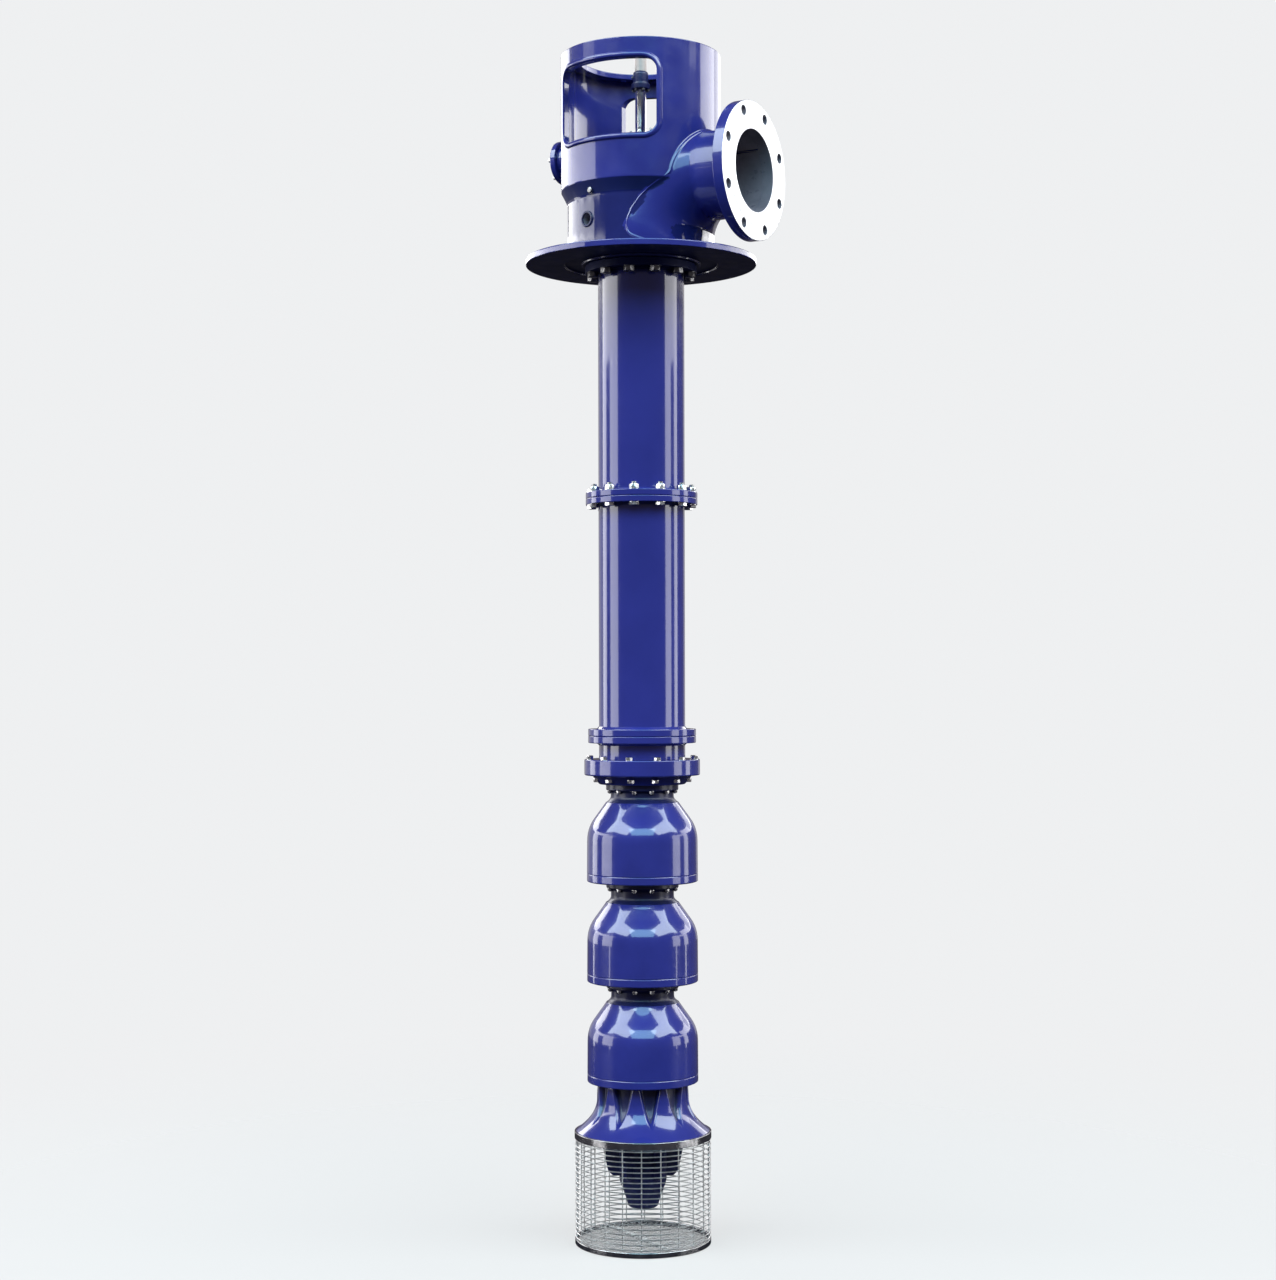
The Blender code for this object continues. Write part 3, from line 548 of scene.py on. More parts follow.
def elbowSkin():
    # The outer skin closed at both ends: behind the outlet flange and inside the drum
    reach = pump["outletFace"] - pump["outletFlange"] - pump["seam"] - pump["bendX"]
    bend = pump["bendRadius"] * math.radians(elbowLook["end"])
    travel = np.concatenate([np.linspace(-reach, 0, 8)[:-1], np.linspace(0, bend, 70)])
    spin = fullTurn(160)
    return skin(elbowPoints(travel[:, None], spin[None]))


def elbowFillet():
    # Where each line along the elbow enters the body, a quadratic Bezier curve runs from the
    # elbow's skin to the body's, with the crossing as its middle point. One row inside both
    # closes the section. A narrow bead, exp(-((s - 0.5) / spread)^2) high, runs along the middle
    look = elbowLook
    spin = fullTurn(220)
    reach = pump["outletFace"] - pump["outletFlange"] - pump["bendX"]
    travel = np.linspace(-reach, pump["bendRadius"] * math.radians(look["end"]), 1400)
    path = elbowPoints(travel[:, None], spin[None])
    outside = fromShaft(path) > bodyRadius(path[..., 2])
    last = len(travel) - 1 - np.argmax(outside[::-1], axis=0)
    enter = np.interp(last + 0.5, np.arange(len(travel)), travel)
    steps = np.arange(-6, 7)  # the crossings are evened out over their neighbours
    weights = np.exp(-(steps / 3.0) ** 2)
    enter = sum(np.roll(enter, step) * weight for step, weight in zip(steps, weights)) / weights.sum()
    middle = elbowPoints(enter, spin)
    onElbow = elbowPoints(enter - look["filletWidth"], spin)
    along = np.roll(middle, -1, axis=0) - np.roll(middle, 1, axis=0)
    outwards = unit(middle * (1, 1, 0))
    away = unit(np.cross(outwards, along))
    centre = np.array([pump["bendX"], 0, pump["outletHeight"] - 0.03])
    away *= np.sign(np.einsum("ij,ij->i", away, middle - centre))[:, None]
    onBody = middle + away * look["filletWidth"]

    def pulled(points, sink):
        # Moves points along their radius to a depth below the body's skin
        scale = (bodyRadius(points[..., 2]) - sink) / fromShaft(points)
        return points * np.stack([scale, scale, np.ones_like(scale)], axis=-1)

    middle, onBody = pulled(middle, 0), pulled(onBody, 0.0002)
    share = np.linspace(0, 1, 17)[:, None, None]
    curve = bezier(onElbow, middle, onBody, share)
    curve = curve + look["bead"] * np.exp(-(((share - 0.5) / look["beadSpread"]) ** 2)) * outwards
    deep = np.array([pump["bendX"] - 0.08, 0, 0.12])  # a point inside elbow and drum
    inner = middle - outwards * 0.006 + (deep - middle) * 0.05
    return skin(np.concatenate([curve, inner[None]]), loop=True)


drainLook = {
    "angle": -106, "height": 0.095, "radius": 0.0195, "rise": 0.004, "socket": 0.0150, "deep": 0.02,
    "gaugeAngle": pump["cameraSide"] - 41, "gaugeHeight": 0.164,
}
windowLook = {
    "halfWidth": 0.133, "bottom": 0.293, "top": 0.478, "corner": 0.028,
    "bead": 0.0145, "sideShare": 0.78, "rise": 0.0052, "fullness": 3.2,
}


def windowOutline(growX, growZ, count=240):
    # A rounded rectangle: each quarter is a quarter circle, moved out to its own corner, and
    # the straight sides lie between them. Returned as x(s), z(s), anticlockwise from the front
    look = windowLook
    quarter = count // 4
    centreX = look["halfWidth"] - look["corner"]
    low, high = look["bottom"] + look["corner"], look["top"] - look["corner"]
    radii = np.array([look["corner"] + growX, look["corner"] + growZ])
    arc = quarter // 2
    straight = quarter - arc
    lines = []
    for k, (x, z) in enumerate([(centreX, low), (centreX, high), (-centreX, high), (-centreX, low)]):
        angle = np.linspace(0, np.pi / 2, arc) + (k - 1) * np.pi / 2
        lines.append(np.stack([x + radii[0] * np.cos(angle), z + radii[1] * np.sin(angle)], axis=-1))
        lines.append(np.full((straight, 2), np.nan))
    line = np.vstack(lines)
    index = np.arange(len(line))
    known = ~np.isnan(line[:, 0])
    wrap = np.append(index[known], len(line))
    x = np.interp(index, wrap, np.append(line[known, 0], line[0, 0]))
    z = np.interp(index, wrap, np.append(line[known, 1], line[0, 1]))
    return x, z


def windowBead(side):
    # A raised bead round the window: across it the rise is 1 - |2u - 1|^fullness, added to the
    # stand's radius, and each point lies on the cylinder, y = sqrt(R^2 - x^2)
    across = np.linspace(0.03, 1, 12)
    rise = (1 - np.abs(2 * across - 1) ** windowLook["fullness"]) * windowLook["rise"]
    rise[0], rise[-1] = 0.0, -0.0003  # the outer edge goes under the stand's skin
    rows = []
    for share, height in zip(across, rise):
        grow = share * windowLook["bead"]
        x, z = windowOutline(grow * windowLook["sideShare"], grow)
        radius = pump["standRadius"] + height
        rows.append(np.stack([x, side * np.sqrt(radius**2 - x**2), z], axis=-1))
    x, z = windowOutline(windowLook["bead"] * 0.5 * windowLook["sideShare"], windowLook["bead"] * 0.5)
    radius = pump["standRadius"] - 0.002
    rows.append(np.stack([x, side * np.sqrt(radius**2 - x**2), z], axis=-1))
    return skin(np.array(rows), loop=True)


def windowPrism():
    # The window's outline carried along y, through both walls
    x, z = windowOutline(0, 0)
    return skin(np.stack([np.stack([x, np.full_like(x, y), z], axis=-1) for y in (-0.26, 0.26)]))


waterwayLook = {"straight": 0.14, "bendEnd": 70}  # metres before the bend, degrees of the bend


def waterway():
    # A rod of even radius along the outlet's axis and on round the bend:
    # P(t, a) = (bend x - (R + r cos a) sin t, r sin a, bend z + (R + r cos a) cos t)
    turn = np.radians(np.linspace(0, waterwayLook["bendEnd"], 24))[:, None]
    spin = fullTurn(96)[None]
    reach = pump["bendRadius"] + pump["boreRadius"] * np.cos(spin)
    bore = np.stack([
        pump["bendX"] - reach * np.sin(turn),
        pump["boreRadius"] * np.sin(spin) + 0 * turn,
        pump["outletHeight"] - pump["bendRadius"] + reach * np.cos(turn),
    ], axis=-1)
    mouth = bore[:1] + np.array([waterwayLook["straight"], 0, 0])
    return skin(np.concatenate([mouth, bore]))


# How near to a surface, in metres, a face has to be to get that surface's finish
paintReach = {
    "bore": 0.0006, "drain": 0.0005, "drum": 0.0002, "flare": 0.0014, "top": 0.0008, "drumAbove": 0.004,
}


def onTop(centres, normals):
    # Faces that look up, level with the stand's top
    return (centres[:, 2] > pump["standTop"] - paintReach["top"]) & (normals[:, 2] > 0.9)


def paintHead(casting, drainSeat):
    # The elbow mirrors less than the rest; drum and flare get darker enamel, painted shade; the bore is
    # coated grey, and the drain's socket gets the grey as painted shade
    near = paintReach
    flareFrom, flareTo = pump["flareBottom"] + near["drumAbove"], pump["flareTop"] - 0.001

    def proud(centres):
        # How far a face stands out from the skin of drum, flare and stand, as the elbow does
        return fromShaft(centres) - bodyRadius(centres[:, 2])

    def onElbow(centres, normals):
        return proud(centres) > near["drum"]

    def onDrum(centres, normals):
        return (centres[:, 2] < flareFrom) & (np.abs(proud(centres)) < near["drum"])

    def onFlare(centres, normals):
        between = (centres[:, 2] >= flareFrom) & (centres[:, 2] < flareTo)
        return between & (np.abs(proud(centres)) < near["flare"])

    def inBore(centres, normals):
        # Faces within the bore's radius of its centre line, level first and then bent
        x, y, z = centres.T
        centreZ = pump["outletHeight"] - pump["bendRadius"]
        fromBend = np.hypot(np.minimum(x - pump["bendX"], 0), z - centreZ)
        return np.hypot(fromBend - pump["bendRadius"], y) < pump["boreRadius"] + near["bore"]

    def drainSocketShade(centres, normals):
        # Faces inside the drum's skin and within the socket's radius of its axis
        out, middle = drainSeat[0, :3, 2], np.array([0, 0, drainLook["height"]])
        along = (centres - middle) @ out
        aside = np.linalg.norm(centres - middle - along[:, None] * out, axis=1)
        sunk = fromShaft(centres) < pump["drumRadius"] - near["drain"]
        return (aside < drainLook["socket"] + near["drain"]) & (along > 0) & sunk

    repaint(casting, "elbowEnamel", onElbow)
    # The drum's wall gets darker enamel as painted shade
    repaint(casting, "drumShadeEnamel", onDrum)
    # The flare gets darker enamel as painted shade
    repaint(casting, "undersideShadeEnamel", onFlare)
    repaint(casting, "greyCoatAndHoleShade", inBore)
    # The drain's socket gets the grey as painted shade
    repaint(casting, "greyCoatAndHoleShade", drainSocketShade)
    repaint(casting, "facedRim", onTop)


def headCasting():
    # Drum, flare and stand are one turned casting; the elbow is joined to it, and the windows
    # and the waterway are cut through
    inner = pump["standRadius"] - pump["standWall"] - pump["seam"]
    foot = pump["plateTop"] + pump["seam"]
    radius, height = flareLine()
    innerRows = np.linspace(pump["floorTop"] + 0.02, pump["standTop"] - 0.01, 12)
    standRows = np.linspace(pump["standTop"] - 0.01, pump["flareTop"] + 0.01, 20)
    drumRows = np.linspace(pump["flareBottom"] - 0.01, foot + 0.02, 10)
    corners = [
        (0, pump["floorTop"]),
        (inner, pump["floorTop"], 0.008),
        *[(inner, z) for z in innerRows],
        (inner, pump["standTop"], 0.0015),
        (pump["standRadius"], pump["standTop"], 0.002),
        *[(pump["standRadius"], z) for z in standRows],
        (radius[0], height[0], 0.0025),
        *zip(radius[1:-1], height[1:-1]),
        (radius[-1], height[-1], 0.003),
        *[(pump["drumRadius"], z) for z in drumRows],
        (pump["drumRadius"], foot + 0.008, 0.006),
        (pump["drumRadius"] + 0.008, foot, 0),
        (0, foot),
    ]
    shape = turned(corners, 240)
    casting = makePiece("headCasting", shape, "castEnamel", ["discharge_body", "motor_stand"])
    drainSeat = sidePlace(drainLook["angle"], pump["drumRadius"], drainLook["height"])
    drainHole = placed(drill(drainLook["socket"], drainLook["deep"], -drainLook["deep"], 48), drainSeat)
    carve(casting, [
        ("UNION", tool("elbowTool", elbowSkin())),
        ("DIFFERENCE", tool("windowTool", windowPrism())),
        ("DIFFERENCE", tool("boreTool", waterway())),
        ("DIFFERENCE", tool("drainTool", drainHole)),
    ])
    paintHead(casting, drainSeat)
    makePiece("elbowFillet", elbowFillet(), "castEnamel")
    makePiece("windowBeadFront", windowBead(-1), "castEnamel", ["window_rim_front"])
    makePiece("windowBeadBack", windowBead(1), "castEnamel", ["window_rim_back"])


headCasting()
print("head casting made")

plateLook = {"radius": 0.293, "edge": 0.003, "groove": 0.196, "pad": 0.150, "depth": 0.006}


def basePlate():
    # A turned disc; its underside is relieved between groove and pad
    look = plateLook
    corners = [
        (0, pump["plateTop"]),
        (look["radius"], pump["plateTop"], look["edge"]),
        (look["radius"], 0, look["edge"] * 0.7),
        (look["groove"], 0, 0.0015),
        (look["groove"] - 0.002, look["depth"], 0.002),
        (look["pad"] + 0.002, look["depth"], 0.002),
        (look["pad"], 0, 0.0015),
        (0, 0),
    ]
    plate = makePiece("basePlate", turned(corners, 256), "plateEnamel", ["base_plate"])
    # Downward faces get darker enamel as painted shade
    repaint(plate, "undersideShadeEnamel", lambda centres, normals: normals[:, 2] < -0.5)


ringLook = {"inner": 0.152, "thick": 0.014, "circle": 0.170, "holes": 4, "firstHole": 45, "hole": 0.0075}


def standTopRing():
    # A turned ring with drilled holes for the motor's bolts
    look = ringLook
    outer = pump["standRadius"] - pump["standWall"] - 0.0005
    top, bottom = pump["standTop"], pump["standTop"] - look["thick"]
    corners = [
        (outer, top, 0.001),
        (look["inner"], top, 0.002),
        (look["inner"], bottom, 0.002),
        (outer, bottom, 0.001),
    ]
    shape = turned(corners, 160, loop=True)
    ring = makePiece("standTopRing", shape, "castEnamel", ["stand_top_ring"])
    places = ringPlaces(look["holes"], look["circle"], top, look["firstHole"])
    holes = placed(drill(look["hole"], 0.02, -0.04, 32), places)
    carve(ring, [("DIFFERENCE", tool("motorHoles", holes))])
    repaint(ring, "facedRim", onTop)


outletLook = {
    "radius": 0.1715, "raised": 0.135, "step": 0.0008, "circle": 0.14925,
    "hole": 0.0128, "holes": 8, "collar": 0.010,
}


def outletFlange():
    # Turned about the outlet's own axis, then laid along X; a collar hides the neck's end
    look = outletLook
    thick = pump["outletFlange"]
    corners = [
        (pump["boreRadius"], thick, 0.0015),
        (look["raised"], thick, 0.0006),
        (look["raised"], thick - look["step"], 0.0006),
        (look["radius"], thick - look["step"], 0.0015),
        (look["radius"], 0, 0.002),
        (pump["neckRadius"] + look["collar"], 0, 0.006),
        (pump["neckRadius"] + 0.0004, -look["collar"], 0.002),
        (pump["neckRadius"] - 0.003, -look["collar"] + 0.002),
        (pump["neckRadius"] - 0.003, 0),
        (pump["boreRadius"], 0),
    ]
    shape = turned(corners, 192, loop=True)
    lay = np.eye(4)
    lay[:3, 0], lay[:3, 1], lay[:3, 2] = (0, 0, -1), (0, 1, 0), (1, 0, 0)
    lay[:3, 3] = (pump["outletFace"] - thick, 0, pump["outletHeight"])
    flange = makePiece("outletFlange", placed(shape, lay[None]), "castEnamel", ["discharge_flange"])
    holePlaces = ringPlaces(look["holes"], look["circle"], 0, 180 / look["holes"])
    holes = placed(placed(drill(look["hole"], 0.05, -0.03, 40), holePlaces), lay[None])
    carve(flange, [("DIFFERENCE", tool("flangeHoles", holes))])
    front = pump["outletFace"] - look["step"] - 0.0012

    def fromAxis(centres):
        return np.hypot(centres[:, 1], centres[:, 2] - pump["outletHeight"])

    def onFace(centres, normals):
        return (centres[:, 0] > front) & (fromAxis(centres) < look["radius"] - 0.0005)

    def inside(centres, normals):
        # Faces of the bore, coated grey, and walls of the holes, where the grey is painted shade
        reach = fromAxis(centres)
        wall = (np.abs(normals[:, 0]) < 0.2) & (centres[:, 0] < front + 0.001)
        nearCircle = np.abs(reach - look["circle"]) < look["hole"]
        return (reach < pump["boreRadius"] + paintReach["bore"]) | (wall & nearCircle)

    repaint(flange, "facedSteel", onFace)
    # The bore gets its grey coating, the bolt holes' walls the grey as painted shade
    repaint(flange, "greyCoatAndHoleShade", inside)


def wallBoss(corners, angle, height, wall, around=64, loop=False):
    # A boss whose foot follows the wall's cylinder and whose top is flat. For (rho, rise)
    # points, depth = rise + (sqrt(R^2 - y^2) - R) x (1 - blend), y = rho sin a, and blend
    # goes from 0 at the foot to 1 where the boss is 6 mm high
    line = rounded(corners, loop)
    angles = fullTurn(around)[None]
    rho, rise = line[:, :1], line[:, 1:]
    across, up = rho * np.sin(angles), rho * np.cos(angles)
    fall = wall - np.sqrt(np.maximum(wall**2 - across**2, 1e-9))
    blend = np.clip(rise / 0.006, 0, 1)
    depth = rise - fall * (1 - blend)
    rows = np.stack([up, across, depth + 0 * up], axis=-1)
    return placed(skin(rows, loop), sidePlace(angle, wall, height))


capScrew = {"flats": 0.011, "height": 0.0055, "washer": 0.0008, "stud": 0}
portLook = {
    "height": 0.290, "neck": 0.044, "cover": 0.055, "coverFrom": 0.2253, "coverTo": 0.240,
    "screws": 6, "firstScrew": 30, "circle": 0.046, "dish": 0.028, "dishRim": 0.031, "dishDepth": 0.002,
}


def sidePort():
    # A neck on the stand's curve, a turned cover with a dish, and its screws
    look = portLook
    rise = look["coverFrom"] - pump["seam"] - pump["standRadius"]
    foot = [
        (0, rise),
        (look["neck"], rise, 0.001),
        (look["neck"], 0.004, 0.004),
        (look["neck"] + 0.008, 0),
        (look["neck"] - 0.01, -0.006),
        (0, -0.006),
    ]
    neck = wallBoss(foot, 180, look["height"], pump["standRadius"], 96)
    makePiece("sidePortNeck", neck, "castEnamel", ["side_port_neck"])
    thick = look["coverTo"] - look["coverFrom"]
    face = [
        (0, thick - look["dishDepth"]),
        (look["dish"], thick - look["dishDepth"], 0.002),
        (look["dishRim"], thick, 0.001),
        (look["cover"], thick, 0.003),
        (look["cover"], 0, 0.001),
        (0, 0),
    ]
    seat = sidePlace(180, look["coverFrom"], look["height"])
    makePiece("sidePortCover", placed(turned(face, 96), seat), "castEnamel", ["side_port_cover"])
    places = ringPlaces(look["screws"], look["circle"], thick - 0.0002, look["firstScrew"])
    boltSet("sidePortScrews", "zincBolt", (capScrew, seat @ places))


def drainPlug():
    # A low boss round the drain's dark socket, on the drum's curve, and a small plug above it
    look = drainLook
    corners = [
        (look["socket"], look["rise"], 0.0006),
        (look["radius"], look["rise"], 0.002),
        (look["radius"], 0.001, 0.001),
        (look["radius"] + 0.002, -0.001),
        (look["socket"], -0.001),
    ]
    boss = wallBoss(corners, look["angle"], look["height"], pump["drumRadius"], 72, loop=True)
    makePiece("drainPlug", boss, "darkEnamelAndPocketShade", ["drain_plug"])
    small = sidePlace(look["gaugeAngle"], bodyRadius(0.163) - 0.001, look["gaugeHeight"])
    # The plug under the flare gets darker steel as painted shade
    boltSet("gaugePlug", "paintedShadeBolt", ({**capScrew, "flats": 0.013}, small))


basePlate()
standTopRing()
outletFlange()
sidePort()
drainPlug()
print("head fittings made")

boxLook = {
    "radius": 0.044, "foot": 0.052, "footHeight": 0.012, "top": 0.322, "bore": 0.0165, "shaftFoot": 0.2997,
}


def stuffingBox():
    # A turned body with a foot, hollow round the shaft
    look = boxLook
    foot = pump["floorTop"] + pump["seam"]
    corners = [
        (0, look["shaftFoot"]),
        (look["bore"], look["shaftFoot"]),
        (look["bore"], look["top"], 0.001),
        (look["radius"], look["top"], 0.003),
        (look["radius"], foot + look["footHeight"], 0.003),
        (look["foot"], foot + look["footHeight"], 0.002),
        (look["foot"], foot, 0.001),
        (0, foot),
    ]
    makePiece("stuffingBox", turned(corners, 96), "castEnamel", ["stuffing_box"])


glandLook = {
    "length": 0.075, "width": 0.020, "from": 0.3223, "to": 0.334,
    "hole": 0.0147, "studs": 0.0285, "sleeve": 0.019,
}


def packingGland():
    # An oval plate: half circles of the gland's half width round two centres; a raised sleeve
    # and the shaft's hole are rings of the same angles, so all rows join as one loop
    look = glandLook
    count = 96
    angle = fullTurn(count)
    half = look["length"] / 2 - look["width"]

    def oval(shrink):
        radius = look["width"] - shrink
        side = np.sign(np.round(np.cos(angle), 9))
        return np.cos(angle) * radius + half * side, np.sin(angle) * radius

    def ring(radius):
        return np.cos(angle) * radius, np.sin(angle) * radius

    low, high = look["from"], look["to"]
    sections = [
        (ring(look["hole"]), low),
        (oval(0.001), low),
        (oval(0), low + 0.001),
        (oval(0), high - 0.0035),
        (oval(0.0012), high - 0.0025),
        (ring(look["sleeve"]), high - 0.0025),
        (ring(look["sleeve"]), high - 0.0006),
        (ring(look["sleeve"] - 0.001), high),
        (ring(look["hole"] + 0.001), high),
        (ring(look["hole"]), high - 0.001),
    ]
    rows = np.array([np.stack([x, y, np.full(count, z)], axis=-1) for (x, y), z in sections])
    makePiece("packingGland", skin(rows, loop=True), "castBronze", ["packing_gland"])
    nut = {"flats": 0.011, "height": 0.0065, "washer": 0.001, "stud": 0.010}
    boltSet("glandNuts", "zincBolt", (nut, ringPlaces(2, look["studs"], high - 0.0026)))


shaftLook = {
    "radius": 0.014, "foot": 0.300, "grooveTop": 0.352, "grooveFoot": 0.344, "grooveDepth": 0.0006,
    "hubFoot": 0.450, "hubTop": 0.495, "hub": 0.024, "barrel": 0.0195, "rim": 0.014,
    "bolts": 6, "firstBolt": 22, "boltCircle": 0.0185, "head": 0.0150, "headTop": 0.548,
    "grubAngle": -150, "grubDrop": 0.014,
}


def turningParts():
    # Line shaft, coupling hub and head shaft are turned; the hub's bolts go with them
    look = shaftLook
    hubFoot, hubTop = look["hubFoot"], look["hubTop"]
    lowTop = hubFoot - pump["seam"]
    line = [
        (0, lowTop),
        (look["radius"], lowTop, 0.001),
        (look["radius"], look["grooveTop"], 0.0005),
        (look["radius"] - look["grooveDepth"], look["grooveTop"] - 0.002, 0.0005),
        (look["radius"] - look["grooveDepth"], look["grooveFoot"] + 0.002, 0.0005),
        (look["radius"], look["grooveFoot"], 0.0005),
        (look["radius"], look["foot"], 0.001),
        (0, look["foot"]),
    ]
    makePiece("lineShaft", turned(line, 64), "polishedShaft", ["line_shaft"], "rotor")
    hub = [
        (0, hubTop),
        (look["barrel"], hubTop, 0.007),
        (look["barrel"], hubFoot + look["rim"], 0.004),
        (look["hub"], hubFoot + look["rim"], 0.003),
        (look["hub"], hubFoot, 0.0015),
        (0, hubFoot),
    ]
    makePiece("couplingHub", turned(hub, 72), "darkEnamelAndPocketShade", ["coupling_hub"], "rotor")
    bolt = {"flats": 0.0075, "height": 0.004, "washer": 0.0006, "stud": 0.002}
    onRim = hubFoot + 0.0002
    places = ringPlaces(look["bolts"], look["boltCircle"], onRim, look["firstBolt"], down=True)
    grub = {**bolt, "stud": 0, "flats": 0.006}
    grubPlace = sidePlace(look["grubAngle"], look["barrel"] - 0.0006, hubTop - look["grubDrop"])
    # Bolts inside the stand get darker steel as painted shade
    boltSet("couplingBolts", "paintedShadeBolt", (bolt, places), (grub, grubPlace), body="rotor")
    foot = hubTop + pump["seam"]
    line = [
        (0, look["headTop"]),
        (look["head"], look["headTop"], 0.002),
        (look["head"], foot, 0.0005),
        (0, foot),
    ]
    makePiece("headShaft", turned(line, 64), "greyShaft", ["head_shaft"], "rotor")


stuffingBox()
packingGland()
turningParts()
print("shaft made")

hexNut = {"flats": 0.0215, "height": 0.0110, "washer": 0.0018, "stud": 0.006}
hexHead = {"flats": 0.0215, "height": 0.0070, "washer": 0.0012, "stud": 0}
columnLook = {
    "rounding": 0.0022,
    "weld": 0.006,
    "bolts": 12,
    "headCircle": 0.127,
    "jointCircle": 0.1283,
    "jointTurn": -8.5,
    "flanges": {
        "headColumnFlange": ("head_column_flange", 0.142, -0.0003, -0.0203),
        "jointFlangeUpper": ("joint_flange_upper", 0.142, -0.5763, -0.5920),
        "jointFlangeLower": ("joint_flange_lower", 0.142, -0.5923, -0.6080),
        "couplingRingUpper": ("coupling_ring_upper", 0.137, -1.1763, -1.1940),
        "couplingRingLower": ("coupling_ring_lower", 0.137, -1.1943, -1.2120),
    },
    "pipes": {
        "upperColumnPipe": ("upper_column_pipe", -0.0206, -0.5760),
        "lowerColumnPipe": ("lower_column_pipe", -0.6083, -1.1760),
        "spoolPipe": ("spool_pipe", -1.2123, -1.2530),
    },
}


def columnFlange(radius, top, bottom, weldAbove):
    # A disc whose edges are rounded, with a small weld on the side where the pipe leaves it
    look = columnLook
    weld, pipe = look["weld"], pump["pipeRadius"]
    upper, lower = [(0, top)], [(0, bottom)]
    if weldAbove:
        upper = [(0, top + weld), (pipe + 0.0003, top + weld, 0.001), (pipe + weld, top, 0.002)]
    else:
        lower = [(pipe + weld, bottom, 0.002), (pipe + 0.0003, bottom - weld, 0.001), (0, bottom - weld)]
    edge = [(radius, top, look["rounding"]), (radius, bottom, look["rounding"])]
    return turned([*upper, *edge, *lower], 192)


def column():
    # Turned flanges and pipes, one below the other, and the bolts of two joints
    look = columnLook
    for name, (node, radius, top, bottom) in look["flanges"].items():
        weldAbove = name in ("jointFlangeUpper", "couplingRingUpper")
        # The flange under the base plate gets darker enamel as painted shade
        finish = "undersideShadeEnamel" if name == "headColumnFlange" else "pipeEnamel"
        makePiece(name, columnFlange(radius, top, bottom, weldAbove), finish, [node])
    for name, (node, top, bottom) in look["pipes"].items():
        wall = [(pump["pipeRadius"], z) for z in np.linspace(top, bottom, 12)]
        makePiece(name, turned([(0, top), *wall, (0, bottom)], 192), "pipeEnamel", [node])
    count, first = look["bolts"], pump["cameraSide"] + look["jointTurn"]
    headBolt = {**hexHead, "flats": 0.024, "height": 0.012}
    underHead = look["flanges"]["headColumnFlange"][3]
    firstHead = pump["cameraSide"] + pump["boltTurn"]
    places = ringPlaces(count, look["headCircle"], underHead, firstHead, down=True)
    # Bolts under the base plate get darker steel as painted shade
    boltSet("headColumnBolts", "paintedShadeBolt", (headBolt, places))
    jointTop, jointFoot = look["flanges"]["jointFlangeUpper"][2], look["flanges"]["jointFlangeLower"][3]
    nuts = ringPlaces(count, look["jointCircle"], jointTop, first)
    heads = ringPlaces(count, look["jointCircle"], jointFoot, first, down=True)
    boltSet("jointBolts", "zincBolt", (hexNut, nuts), (hexHead, heads))


column()
print("column made")

bowlLook = {
    "radius": 0.141, "pitch": 0.254, "bottom": -1.565, "barrel": 0.132, "shoulder": 0.071,
    "topRadius": 0.092, "shoulderLift": 0.004, "rounding": 0.032, "coneShare": 0.15,
    "flutes": 6, "fluteDepth": 0.0040, "line": 0.021, "lineDepth": 0.0012,  # a thin groove near the foot
}
adapterLook = {
    "top": -1.2533, "ledge": -1.294, "bottom": -1.317, "radius": 0.147, "hub": 0.128, "foot": 0.109,
    "topCircle": 0.1375, "footCircle": 0.1195, "bolts": 12, "footLift": 0.0145,
}
neckLook = {"collar": 0.014, "top": 0.092, "waist": 0.080, "flare": 0.010, "circle": 0.0855, "bolts": 12}


def bowlAdapter():
    # A turned ring that narrows to the first bowl's neck
    look = adapterLook
    corners = [
        (0, look["top"]),
        (look["radius"], look["top"], 0.003),
        (look["radius"], look["ledge"], 0.004),
        (look["hub"], look["ledge"], 0.003),
        (look["foot"], look["bottom"], 0.003),
        (0, look["bottom"]),
    ]
    makePiece("bowlAdapter", turned(corners, 192), "castEnamel", ["bowl_adapter"])
    first, underFoot = pump["cameraSide"] + pump["boltTurn"], look["bottom"] + look["footLift"]
    upper = ringPlaces(look["bolts"], look["topCircle"], look["top"], first)
    lower = ringPlaces(look["bolts"], look["footCircle"], underFoot, first, down=True)
    small, large = {**hexHead, "flats": 0.015}, {**hexHead, "flats": 0.016}
    boltSet("adapterBolts", "zincBolt", (small, upper), (large, lower))


